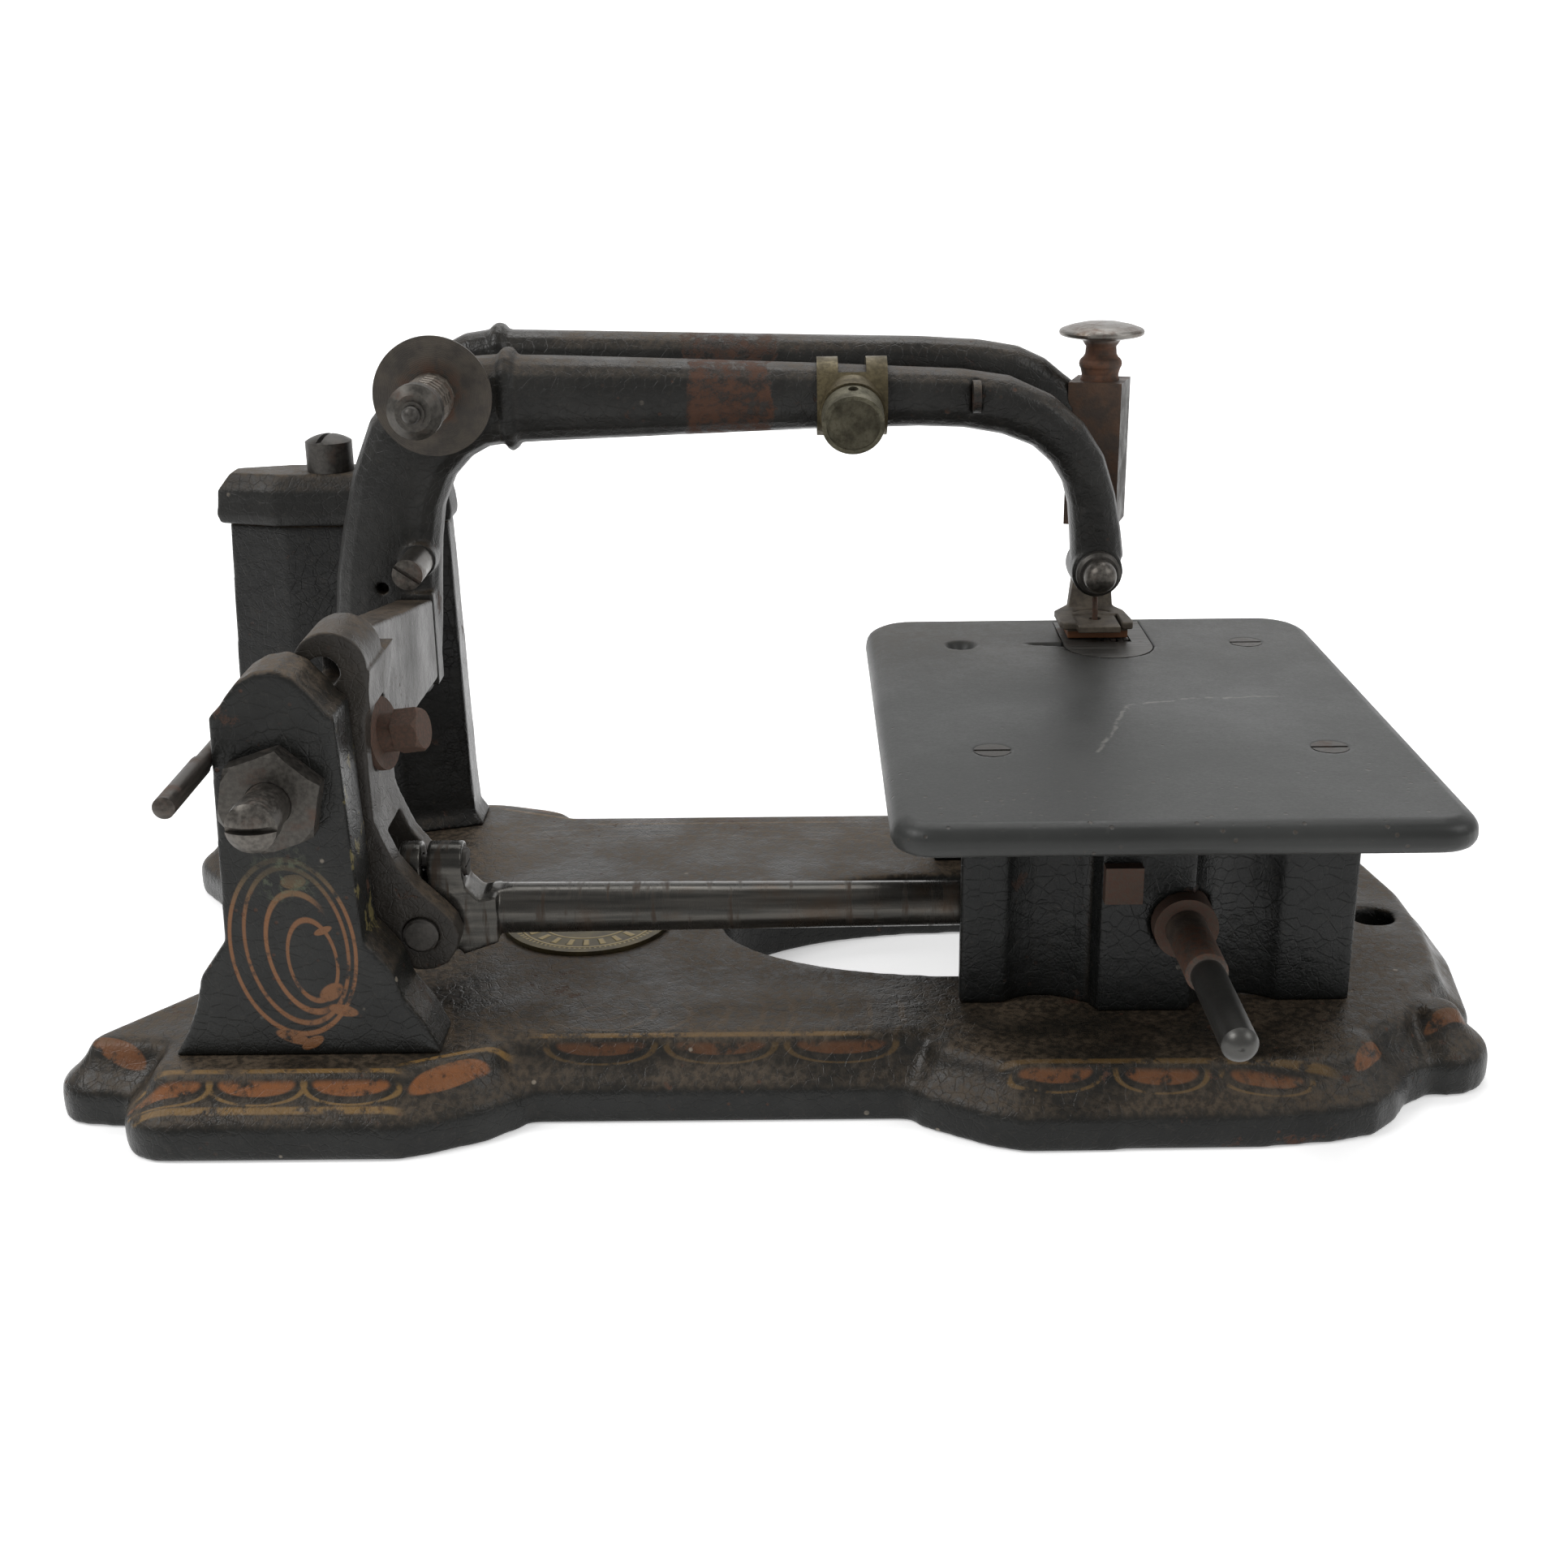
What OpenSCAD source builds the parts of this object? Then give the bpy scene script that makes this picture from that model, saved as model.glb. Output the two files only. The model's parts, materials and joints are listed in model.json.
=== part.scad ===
// Antique leather sewing machine head: scalloped cast bed, rocking needle arm,
// fixed presser arm and cloth plate over a rotary-hook shaft.
// +X runs from the pivot end to the needle end, +Y away from the shaft's free end, +Z up.
// The origin is at the middle of the machine's footprint, on the surface it stands on.

/* [Bed] */
// Length of the bed, end to end
bed_l = 336; // [334:1:338]
// Width of the bed across its lobes
bed_w = 180; // [178:1:182]
// Height of the bed's top face
bed_h = 18; // [17:0.5:19]
// Radius of the bolt holes through the bed
bolt_hole_r = 5.2; // [4.5:0.1:5.6]

/* [Rocking arm] */
// Pivot axis of the rocking arm, measured from the bed's centre
pivot_x = -105; // [-106:0.5:-104]
// Height of the rocking arm's pivot axis
pivot_z = 79; // [78.5:0.5:79.5]
// Distance from the pivot axis to the needle
needle_reach = 190; // [189.5:0.5:190.5]
// Distance of the needle line behind the bed's centre line
needle_y = 50; // [49.5:0.5:50.5]
// Radius of the needle's shank
needle_r = 0.75; // [0.6:0.05:0.8]

/* [Cloth plate] */
// Height of the cloth plate's top face
plate_top = 77; // [76.5:0.5:77.5]
// Thickness of the cloth plate at its rounded rim
plate_t = 7.5; // [7:0.5:8]
// Width of the cloth plate
plate_w = 120.5; // [118:0.5:122]
// Length of the cloth plate
plate_l = 162; // [160:1:164]

/* [Drive] */
// Radius of the main shaft in its bearings
shaft_r = 4.6; // [4.5:0.1:4.8]
// Radius of the shaft's free end, which takes a pulley
shaft_end_r = 3.75; // [3.5:0.05:4]
// Height of the main shaft's axis
shaft_z = 40; // [39.5:0.5:40.5]
// Radius of the rotary hook
hook_r = 20.5; // [19:0.5:21]

/* [Presser and tension] */
// Length of each side of the square presser tube
tube_side = 14.2; // [13.8:0.1:14.6]
// Radius of the presser bar
bar_r = 3.6; // [3.4:0.1:3.7]
// Radius of the thumb screw's disc
thumb_r = 11.3; // [10:0.1:12]
// Radius of the thread tension discs
disc_r = 15; // [13:0.5:15.5]

/* [Fits] */
// Radial clearance of running fits
run_gap = 0.05; // [0.03:0.01:0.08]
// Gap between separate bodies that pass each other
free_gap = 0.3; // [0.3:0.05:0.5]

/* [Hidden] */
$fn = 64;

// Finishes
JAPAN = [0.09, 0.085, 0.08];
DUSTY = [0.2, 0.18, 0.16];
STEEL = [0.45, 0.45, 0.44];
RUST = [0.36, 0.2, 0.13];
BRASS = [0.62, 0.55, 0.35];

// The footprint's middle lies this far in front of the bed's centre line
shaft_tip_y = -118;
rear_screw_y = 96;
shift_y = -(shaft_tip_y + rear_screw_y) / 2;

// Main stations
needle_x = pivot_x + needle_reach;
shaft_x = 91;
housing_top = plate_top - plate_t;
plate_x = 84;
plate_y = -11.25;
standard_y = [-74.5, -59.5];
link = [-80, 39.5];
rod_y = -41.7;
rod_end_x = shaft_x - 2.6;
bolt_holes = [[150, -4], [-120, -4]];
plate_screw_at = [[48.5, -44], [124, -44], [124, 42]];
plate_hole_at = [48.5, 42];
pivot_r = 4;
link_r = 4;
cup_x = 19.7;
cup_droop = 15.5;
stud_at = [-86, 145];
presser_x = 87;
presser_y = 72;
tube_turn = -18.4;
tube_z = [103.7, 142];
arm_front_y = needle_y - 10;

// Plan of the bed, as convex pieces that overlap; each runs anticlockwise from its left end
left_x = -bed_l / 2;
right_x = bed_l / 2;
lobe_y = -bed_w / 2;
bed_waist = [
    [-137, -74.2], [134, -74.2], [146, -66.5], [163.8, -40], [right_x, -12],
    [right_x, 12], [163.8, 40], [147, 70], [134, 79.5], [-137, 79.5]
];
bed_toe = concat(
    arc([-153.5, -64.5], 9.2, 142.8, 262, 5),
    [[-132, -75.6], [-118, -72], [-100, -60], [-100, -26], [-135.8, -26]]
);
bed_left_lobe = concat(
    [[-144, -56]], arc([-132.5, lobe_y + 11.5], 11.5, 180, 270, 5),
    [[-83, lobe_y], [-76, -87.8], [-64, -82.3], [-57, -76.5], [-53, -68], [-60, -56]]
);
bed_column_lobe = concat(
    [[-161, -56]], arc([-149, 12.5 - 92], 12.5, 180, 270, 5),
    [[-83, -92], [-76, -90], [-64, -85.5], [-57, -81], [-53, -72], [-60, -56]]
);
bed_right_lobe = [
    [26, -70], [31, -77.5], [39, -82.5], [46, -86.5], [53, -88.8], [104, -87.8],
    [120, -85.9], [130, -83], [136, -77.5], [140.5, -70], [136, -58], [30, -58]
];
bed_corner = arc([151, -53.5], 12.5, 0, 337.5, 15);
// Edge profile of the bed: inset and height, from the foot up over the cyma moulding
bed_edge = [[0, 0], [0, 7.5], [0.8, 9], [3.5, 11], [6, 14], [7.2, 16.8], [8.6, bed_h]];

// Front standard, in the XZ plane
standard_outline = [
    [-133, bed_h], [-129.5, 24], [-127, 30], [-125.3, 37], [-122, 41.5], [-119.2, 45.5],
    [-117, 96.3], [-115, 98], [-113.2, 100.6], [-110.5, 103.8], [-107, 105.8], [-102.6, 106.4],
    [-98.6, 104.6], [-94.6, 100], [-93.2, 97.8], [-91, 96], [-89.2, 45.2], [-86, 41.5],
    [-83.3, 37.6], [-81.6, 31.4], [-77.5, 25.6], [-74, bed_h]
];

// Rocker lever, front view: right-hand edge down to the link eye and back up round the pivot
lever_outline = [
    [-92, 101], [-86.4, 101], [-87.2, 95], [-88.3, 88], [-88.6, 78], [-88.5, 67], [-87.2, 63],
    [-84.6, 56.6], [-80, 50.4], [-75.3, 45.6], [-72.6, 42.5], [-71.4, 39.2], [-72.2, 35.6],
    [-74.4, 32.4], [-77.4, 31], [-80.5, 30.6], [-85, 31.8], [-88.4, 35], [-91.5, 43],
    [-94.5, 54], [-99, 66], [-99, 92]
];

// Sections of the needle arm: outer edge x, z, inner edge x, z and half depth
needle_arm_sections = [
    [-110.5, 65, -99.5, 62.5, 6], [-115, 69, -94.5, 63.8, 8.6], [-117.6, 76, -91.6, 69.5, 9.8],
    [-118.3, 85.5, -90.2, 84.3, 10], [-117, 97, -89.5, 95, 10], [-114, 110.7, -88.7, 105, 10],
    [-110.4, 124, -87.2, 114.5, 10], [-104.8, 137.5, -83.7, 122.5, 10],
    [-96, 147.5, -79, 127.5, 10], [-84.5, 152.6, -74, 130.2, 10.2], [-71, 153.3, -69.6, 130.8, 10.2],
    [-70.2, 154.6, -69.2, 129.6, 10.9], [-69.2, 155.2, -68.6, 129, 11.2],
    [-68, 155.2, -67.6, 129, 11.2], [-67, 154.6, -66.6, 129.7, 10.9],
    [-66.2, 153.1, -65.8, 131.1, 10.2], [-58, 152.9, -58, 131.4, 10.2], [-24, 151.6, -24, 132.6, 9.6], [10, 150.2, 10, 133.7, 8.6],
    [36, 148.9, 37, 134.1, 8], [48, 148.3, 48.6, 133.6, 7.9], [60.5, 146.4, 58.6, 131.8, 7.8],
    [71.7, 141.3, 66.5, 128.7, 7.6], [79.9, 134.3, 71.5, 124.3, 7.4], [85.3, 126, 74.8, 119, 7.2],
    [88.6, 116, 76.5, 113, 7], [90.6, 106, 77.3, 105, 7], [91.6, 99, 77.7, 99, 7]
];

// Sections of the presser arm, given in the same way
presser_arm_sections = [
    [-112, 117, -91, 117, 7.5], [-109.5, 129, -88, 122.5, 8], [-102, 142, -83, 128, 8.4],
    [-92, 151.5, -77.5, 132.5, 8.4], [-83, 156, -75.8, 134.4, 8.4], [-76, 157, -74.6, 134.9, 8.4],
    [-75.2, 158.2, -74.1, 133.9, 9], [-74.2, 158.7, -73.5, 133.4, 9.2],
    [-73, 158.7, -72.6, 133.4, 9.2], [-72, 158.2, -71.6, 133.9, 9],
    [-71.2, 156.9, -70.8, 135.1, 8.4], [-58, 156.5, -58, 135.6, 8.4], [10, 154.6, 10, 136.9, 8], [38, 153.9, 38, 137, 7.6],
    [54.5, 152.8, 52, 136, 7.4], [65, 151, 60, 133.6, 7.2], [72.2, 147.7, 65.8, 130.2, 7],
    [77.5, 143.4, 70.5, 126, 6.6], [85, 138, 79, 122, 6]
];

// Points of an arc from angle a to angle b in n steps
function arc(c, r, a, b, n) =
    [for (i = [0:n]) let (t = a + (b - a) * i / n) [c[0] + r * cos(t), c[1] + r * sin(t)]];

function unit(v) = v / norm(v);

// A closed outline moved inwards by d; the outline runs anticlockwise
function inset(p, d) = let (n = len(p)) [
    for (i = [0:n - 1])
        let (u = unit(p[i] - p[(i + n - 1) % n]), v = unit(p[(i + 1) % n] - p[i]),
             m = unit([-u[1] - v[1], u[0] + v[0]]), k = max(0.6, m * [-u[1], u[0]]))
            p[i] + m * d / k
];

function at_height(p, z) = [for (q = p) [q[0], q[1], z]];

// Rectangle with front corners of radius q and rear corners of radius r, anticlockwise
function round_rect(w, l, q, r) = concat(
    arc([w / 2 - q, q - l / 2], q, 270, 360, 6), arc([w / 2 - r, l / 2 - r], r, 0, 90, 6),
    arc([r - w / 2, l / 2 - r], r, 90, 180, 6), arc([q - w / 2, q - l / 2], q, 180, 270, 6)
);

// Ring of an arm section: a rounded shape between its outer and inner edges
function squircle(t) = let (c = cos(t), s = sin(t)) 1 / pow(pow(abs(c), 2.6) + pow(abs(s), 2.6), 1 / 2.6);
function arm_ring(s, y) =
    let (o = [s[0], s[1]], q = [s[2], s[3]], m = (o + q) / 2, e = (o - q) / 2) [
        for (i = [0:19])
            let (t = 18 * i, k = squircle(t), a = m + e * k * cos(t))
                [a[0], y - s[4] * k * sin(t), a[1]]
    ];

// Solid through a list of rings with equal numbers of points
module loft(rings) {
    n = len(rings[0]);
    m = len(rings);
    sides = [
        for (i = [0:m - 2]) for (j = [0:n - 1])
            let (a = i * n + j, b = i * n + (j + 1) % n) each [[a, a + n, b + n], [a, b + n, b]]
    ];
    foot = [for (j = [0:n - 1]) j];
    head = [for (j = [n - 1:-1:0]) (m - 1) * n + j];
    polyhedron([for (r = rings) each r], concat([foot, head], sides), convexity = 8);
}

module seat() {
    translate([0, shift_y, 0]) children();
}

// Extrudes an XZ outline from y0 to y1
module slab_y(y0, y1) {
    translate([0, y1, 0]) rotate([90, 0, 0]) linear_extrude(height = y1 - y0) children();
}

module rod_y(at, y0, y1, r) {
    translate([at[0], y0, at[1]]) rotate([-90, 0, 0]) cylinder(h = y1 - y0, r = r);
}

module cone_y(at, y0, y1, r0, r1) {
    translate([at[0], y0, at[1]]) rotate([-90, 0, 0]) cylinder(h = y1 - y0, r1 = r0, r2 = r1);
}

module rod_x(y, z, x0, x1, r) {
    translate([x0, y, z]) rotate([0, 90, 0]) cylinder(h = x1 - x0, r = r);
}

module block(x, y, z) {
    translate([x[0], y[0], z[0]]) cube([x[1] - x[0], y[1] - y[0], z[1] - z[0]]);
}

// Dome of height h on a circle of radius r, pointing up
module dome(r, h) {
    ball = (r * r + h * h) / (2 * h);
    intersection() {
        translate([0, 0, h - ball]) sphere(r = ball);
        cylinder(h = h, r = r);
    }
}

// Coil spring standing on z = 0
module coil(r, wire, turns, h) {
    steps = turns * 16;
    loft([
        for (i = [0:steps])
            let (a = 360 * turns * i / steps, z = wire + (h - 2 * wire) * i / steps) [
                for (j = [0:7])
                    let (t = 45 * j, k = r + wire * cos(t)) [k * cos(a), k * sin(a), z - wire * sin(t)]
            ]
    ]);
}

pivot = [pivot_x, pivot_z];

// A plan carried up through the bed's edge profile
module moulded(plan) {
    loft([for (e = bed_edge) at_height(inset(plan, e[0]), e[1])]);
}

module bed_body() {
    moulded(bed_waist);
    moulded(bed_toe);
    moulded(bed_left_lobe);
    mirror([0, 1, 0]) {
        translate([left_x + 162.7, 0, 0]) moulded(bed_toe);
        moulded(bed_column_lobe);
    }
    for (s = [0, 1]) mirror([0, s, 0]) translate([0, -2.2 * s, 0]) {
        moulded(bed_right_lobe);
        moulded(bed_corner);
    }
}

module bed_plate() {
    color(JAPAN) seat() difference() {
        bed_body();
        translate([47, -5, -1]) linear_extrude(height = bed_h + 2)
            polygon([for (t = [0:7.5:352.5]) [61 * cos(t), 31 * sin(t)]]);
        for (p = bolt_holes) translate([p[0], p[1], -1]) cylinder(h = bed_h + 2, r = bolt_hole_r);
        medallion_pocket();
    }
}

medallion_at = [-49, -2];
medallion_r = 21.3;

module medallion_pocket() {
    translate([medallion_at[0], medallion_at[1], bed_h - 1.5]) cylinder(h = 3, r = medallion_r);
}

module medallion() {
    color(BRASS) seat() translate([medallion_at[0], medallion_at[1], bed_h - 1.5]) difference() {
        cylinder(h = 2.3, r = medallion_r);
        translate([0, 0, 1.8]) cylinder(h = 1, r = medallion_r - 1.8);
    }
}

module front_standard() {
    color(JAPAN) seat() difference() {
        union() {
            slab_y(standard_y[0], standard_y[1]) polygon(standard_outline);
            block([-120.5, -116], [-66, standard_y[1]], [83.8, 88.2]);
        }
        rod_y(pivot, standard_y[0] - 1, standard_y[1] + 1, 5);
        rod_y([-119.6, 86], -76, -60.4, 1.95);
    }
}

// Elongated octagon, anticlockwise
function octagon(x0, x1, y0, y1, cx, cy) = [
    [x0 + cx, y0], [x1 - cx, y0], [x1, y0 + cy], [x1, y1 - cy],
    [x1 - cx, y1], [x0 + cx, y1], [x0, y1 - cy], [x0, y0 + cy]
];

column_rings = [
    at_height(octagon(-156, -85.5, 59.5, 86, 17, 6), bed_h),
    at_height(octagon(-154.4, -88, 61, 84.6, 17.5, 5.5), bed_h + 4),
    at_height(octagon(-153.4, -88.6, 61.8, 84.6, 17.5, 5.4), bed_h + 16),
    at_height(octagon(-150.6, -90.5, 65.5, 84.6, 16.5, 5), 106)
];
column_rear_y = 84.6;

module rear_column() {
    color(JAPAN) seat() difference() {
        loft(column_rings);
        rod_y(pivot, 50, 90, 5);
        translate([-122.3, 74, 88]) cylinder(h = 20, r = 4);
    }
}

// Headed pivot screw whose plain nose carries the rocker; it points along +Y from its head
module pivot_screw(head_y, head_l, nose_y, face_y) {
    difference() {
        union() {
            translate([pivot_x, head_y, pivot_z]) rotate([90, 0, 0]) mirror([0, 0, 1]) {
                translate([0, 0, 2]) cylinder(h = head_l - 2, r = 5.3);
                translate([0, 0, 2]) mirror([0, 0, 1]) dome(5.3, 2);
            }
            rod_y(pivot, head_y + head_l, face_y, 4.9);
            rod_y(pivot, face_y, nose_y, pivot_r);
        }
        block([pivot_x - 6, pivot_x + 6], [head_y - 1, head_y + 2.6], [pivot_z - 0.7, pivot_z + 0.7]);
    }
}

module front_pivot_screw() {
    color(STEEL) seat() pivot_screw(-95.5, 7, -50, standard_y[1]);
}

module rear_pivot_screw() {
    color(STEEL) seat() mirror([0, 1, 0]) pivot_screw(-rear_screw_y, 4, -52, -67.5);
}

module lock_nut(y0, y1) {
    difference() {
        translate([pivot_x, y0, pivot_z]) rotate([-90, 0, 0]) rotate([0, 0, -18.6]) intersection() {
            cylinder(h = y1 - y0, r = 11.6, $fn = 6);
            dome_chamfer(y1 - y0);
        }
        rod_y(pivot, y0 - 1, y1 + 1, 5);
    }
}

// Rounds the corners of a nut's outer face
module dome_chamfer(h) {
    cylinder(h = 1.2, r1 = 10.4, r2 = 11.7);
    translate([0, 0, 1.2]) cylinder(h = h - 1.2, r = 11.7);
}

module front_lock_nut() {
    color(STEEL) seat() lock_nut(standard_y[0] - 5.5, standard_y[0]);
}

module rear_lock_nut() {
    color(STEEL) seat() mirror([0, 1, 0]) lock_nut(-column_rear_y - 5.2, -column_rear_y);
}

module spool_pin() {
    color(DUSTY) seat() {
        rod_y([-119.6, 86], -75, -60.5, 1.9);
        rod_y([-119.6, 86], -100, -75, 2.3);
        translate([-119.6, -100, 86]) rotate([90, 0, 0]) dome(2.3, 0.8);
    }
}

// Fluted front wall of the shaft housing
module front_wall() {
    difference() {
        union() {
            block([41.5, 131], [-52, -47.9], [bed_h, housing_top]);
            block([71, 96], [-56.7, -47.9], [bed_h, housing_top]);
            block([41.5, 56], [-50, -39], [58, housing_top]);
            block([116, 131], [-50, -39], [bed_h, housing_top]);
        }
        for (x = [60.5, 105.4])
            translate([x, -61.4, bed_h - 1]) cylinder(h = housing_top - bed_h + 2, r = 13, $fn = 128);
        rod_y([shaft_x, shaft_z], -60, -30, 7.2);
        for (p = plate_screw_at)
            translate([p[0], p[1], 59]) cylinder(h = 13, r = 2);
    }
}

// Plain rear wall of the shaft housing, with a slot that guides the feed bar
module rear_wall() {
    difference() {
        union() {
            block([41.5, 131], [35, 41.6], [bed_h, housing_top]);
            block([42.5, 55], [35, 49], [56, housing_top]);
            block([116.5, 131], [35, 49], [bed_h, housing_top]);
        }
        for (x = [48.5, 124]) translate([x, 42, 58]) cylinder(h = 12, r = 2);
        rod_y([shaft_x, shaft_z], 30, 50, 7.2);
        block([87.7, 95.3], [30, 50], [61.3, 67.3]);
    }
}

module shaft_housing() {
    color(JAPAN) seat() {
        front_wall();
        rear_wall();
    }
}

module shaft_bushes() {
    color(RUST) seat() for (span = [[-60.5, -47.3], [35, 42]]) difference() {
        rod_y([shaft_x, shaft_z], span[0], span[1], 7.2);
        rod_y([shaft_x, shaft_z], span[0] - 1, span[1] + 1, shaft_r + run_gap);
    }
}

module bearing_clamp() {
    color(RUST) seat() block([72.6, 81], [-60, -56.7], [46, 54.6]);
}

module cloth_plate() {
    rim = [[3, -plate_t], [0.8, 1 - plate_t], [0, 2.6 - plate_t], [0.2, -2.6], [1.2, -1.1], [3.4, 0]];
    color(DUSTY) seat() difference() {
        translate([plate_x, plate_y, plate_top])
            loft([for (e = rim) at_height(inset(round_rect(plate_w, plate_l, 8.5, 13), e[0]), e[1])]);
        for (p = plate_screw_at) screw_seat(p, 0);
        screw_seat(plate_hole_at, 0);
        translate([0, 0, plate_top - 3]) linear_extrude(height = 4) throat_outline(0);
        block([79.5, 96.6], [38, 62.5], [plate_top - 9, plate_top - 2]);
        translate([0, 0, plate_top - 1.2]) linear_extrude(height = 2)
            polygon([[64.5, 42.2], [76, 39.6], [76, 43], [66, 43.4]]);
    }
}

// Countersunk seat of a plate screw, or the screw that fills it
module screw_seat(p, gap) {
    translate([p[0], p[1], plate_top - plate_t - 1]) cylinder(h = plate_t, r = 2 - gap);
    translate([p[0], p[1], plate_top - 2.6]) cylinder(h = 2.7, r1 = 2 - gap, r2 = 4.3 - gap);
}

module plate_screws() {
    color(STEEL) seat() for (p = plate_screw_at) difference() {
        union() {
            translate([p[0], p[1], 59]) cylinder(h = plate_top - 61.6, r = 1.97);
            translate([p[0], p[1], plate_top - 2.6]) cylinder(h = 2.6, r1 = 1.97, r2 = 4.2);
        }
        translate([p[0] - 5, p[1] - 0.5, plate_top - 0.9]) cube([10, 1, 2]);
    }
}

// Plan of the throat plate: a half round that runs back to the rear rim
module throat_outline(gap) {
    translate([87.3, 40]) intersection() {
        circle(r = 11.6 - gap);
        translate([-12, -12]) square([24, 12]);
    }
    translate([75.7 + gap, 40]) square([23.2 - 2 * gap, 24 - gap]);
}

teeth_x = [89.6, 93];

module throat_plate() {
    color(DUSTY) seat() difference() {
        translate([0, 0, plate_top - 2.9]) linear_extrude(height = 2.9) throat_outline(0.05);
        translate([needle_x, needle_y, plate_top - 4]) cylinder(h = 5, r = 1.5);
        block([needle_x + 0.8, needle_x + 2], [44.5, 48], [plate_top - 4, plate_top + 1]);
        for (x = teeth_x) block([x - 1, x + 1], [43.5, 61.5], [plate_top - 4, plate_top + 1]);
    }
}

module rocker() {
    color(DUSTY) seat() difference() {
        union() {
            slab_y(-58.2, -51.3) polygon(lever_outline);
            slab_y(-37.5, -31.5) polygon(lever_outline);
            slab_y(-52, -37) intersection() {
                polygon(lever_outline);
                translate([-120, 62]) square([60, 60]);
            }
            slab_y(-58.2, -41) hook_outline();
            rod_y(pivot, -58.4, -46, 12);
            block([-105, -94], [-50, 39.9], [72, 86]);
            translate([-100, 0, 0]) rotate([90, 0, 90]) linear_extrude(height = 9.4)
                polygon([[-50, 74], [arm_front_y - 0.1, 70], [arm_front_y - 0.1, 91.5], [-42, 106]]);
        }
        rod_y(pivot, -60, -49, pivot_r + run_gap);
        rod_y(link, -60, -30, link_r);
        rod_y([link[0], link[1]], -51.3, -37.5, 11.5);
        bolt_frame() translate([0, 0, -9]) cylinder(h = 9.1, r = 3);
        bolt_frame() cylinder(h = 6, r = 9);
    }
}

// Curled top of the rocker, in the XZ plane
module hook_outline() {
    difference() {
        union() {
            translate([-95, 101.8]) circle(r = 8);
            translate([-100, 92]) square([13, 9.8]);
        }
        translate([-96.6, 100.6]) circle(r = 3.8);
        translate([-106, 97]) square([9.4, 5]);
        translate([-106, 90]) square([6, 8]);
    }
}

// Places a bolt on the rocker's right flank, with +Z out along its axis
module bolt_frame() {
    translate([-88.9, -44, 82.4]) rotate([0, 81, -10]) children();
}

module rocker_bolt() {
    color(RUST) seat() bolt_frame() {
        translate([0, 0, -8]) cylinder(h = 9.6, r = 2.9);
        translate([0, 0, 1.6]) cylinder(h = 3.4, r = 4.4);
        translate([0, 0, 5]) intersection() {
            cylinder(h = 6, r = 5.2, $fn = 6);
            union() {
                cylinder(h = 5, r = 5.2);
                translate([0, 0, 5]) cylinder(h = 1, r1 = 5.2, r2 = 4.4);
            }
        }
    }
}

module rocker_washer() {
    color(RUST) seat() bolt_frame() difference() {
        cylinder(h = 1.6, r = 8.3);
        translate([0, 0, -1]) cylinder(h = 4, r = 2.95);
    }
}

module link_pin() {
    color(DUSTY) seat() {
        rod_y(link, -58.8, -31.5, link_r - 0.02);
        cone_y(link, -59.3, -58.8, link_r - 0.6, link_r - 0.02);
    }
}

module needle_arm() {
    boss = [needle_x - 0.9, 96];
    color(JAPAN) seat() difference() {
        union() {
            loft([for (s = needle_arm_sections) arm_ring(s, needle_y)]);
            rod_y(boss, needle_y - 7, needle_y + 7, 6.7);
            rod_y(stud_at, 38, needle_y - 4, 6.5);
            rod_y(pivot, needle_y, 62, 11);
            block([-101, -90.4], [39.9, 48], [68, 93]);
            rod_y([-93.5, 102], 39.6, 46, 4.6);
        }
        rod_y(pivot, 50.5, 63, pivot_r + run_gap);
        block([needle_x - 1.9, needle_x + 0.9], [needle_y - 0.8, needle_y + 0.8], [85, 98]);
        rod_y(boss, needle_y - 8, needle_y - 0.9, 2.05);
        rod_y(stud_at, 30, needle_y - 2, 2.2);
        rod_y([-93.5, 102], 30, 48, 2.6);
        rod_y([-103.5, 94.5], 30, 46, 1.6);
        block([50.1, 52.3], [needle_y - 14, needle_y - 4.9], [138.2, 146.6]);
    }
}

module arm_screw() {
    color(STEEL) seat() difference() {
        union() {
            rod_y([-93.5, 102], 24, 39.6, 3.9);
            rod_y([-93.5, 102], 39.6, 47, 2.55);
        }
        translate([-93.5, 24, 102]) rotate([0, 35, 0]) cube([9, 2.4, 1], center = true);
    }
}

module needle() {
    color(STEEL) seat() translate([pivot_x, needle_y, pivot_z]) rotate([90, 0, 0]) {
        rotate([0, 0, -4.7]) rotate_extrude(angle = 10.2, $fn = 360)
            translate([needle_reach, 0]) circle(r = needle_r, $fn = 24);
    }
}

boss_at = [needle_x - 0.9, 96];

module needle_collar() {
    color(RUST) seat() difference() {
        union() {
            rod_y(boss_at, needle_y - 9, needle_y - 7, 5.8);
            cone_y(boss_at, needle_y - 9.8, needle_y - 9, 5, 5.8);
        }
        rod_y(boss_at, needle_y - 12, needle_y - 6, 2.05);
    }
}

module needle_screw() {
    color(STEEL) seat() {
        rod_y(boss_at, needle_y - 11.6, needle_y - 9.8, 4.3);
        translate([boss_at[0], needle_y - 11.6, boss_at[1]]) rotate([90, 0, 0]) dome(4.3, 4.1);
        rod_y(boss_at, needle_y - 9.8, needle_y - 1, 2);
    }
}

module thread_guide_tang() {
    block([50.2, 52.2], [needle_y - 9, needle_y - 6.5], [138.4, 146.4]);
}

module thread_guide() {
    color(JAPAN) seat() difference() {
        union() {
            thread_guide_tang();
            translate([50.2, needle_y - 9, 142.4]) rotate([0, 90, 0]) cylinder(h = 2, r = 4);
        }
        translate([49, needle_y - 10.4, 142.4]) rotate([0, 90, 0]) cylinder(h = 5, r = 1.1);
    }
}

// Frame on the arm's axis at the cup, with +Z out along the cup's drooping axis
module cup_frame() {
    translate([cup_x, needle_y, 141.8]) rotate([90 + cup_droop, 0, 0]) children();
}

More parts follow.
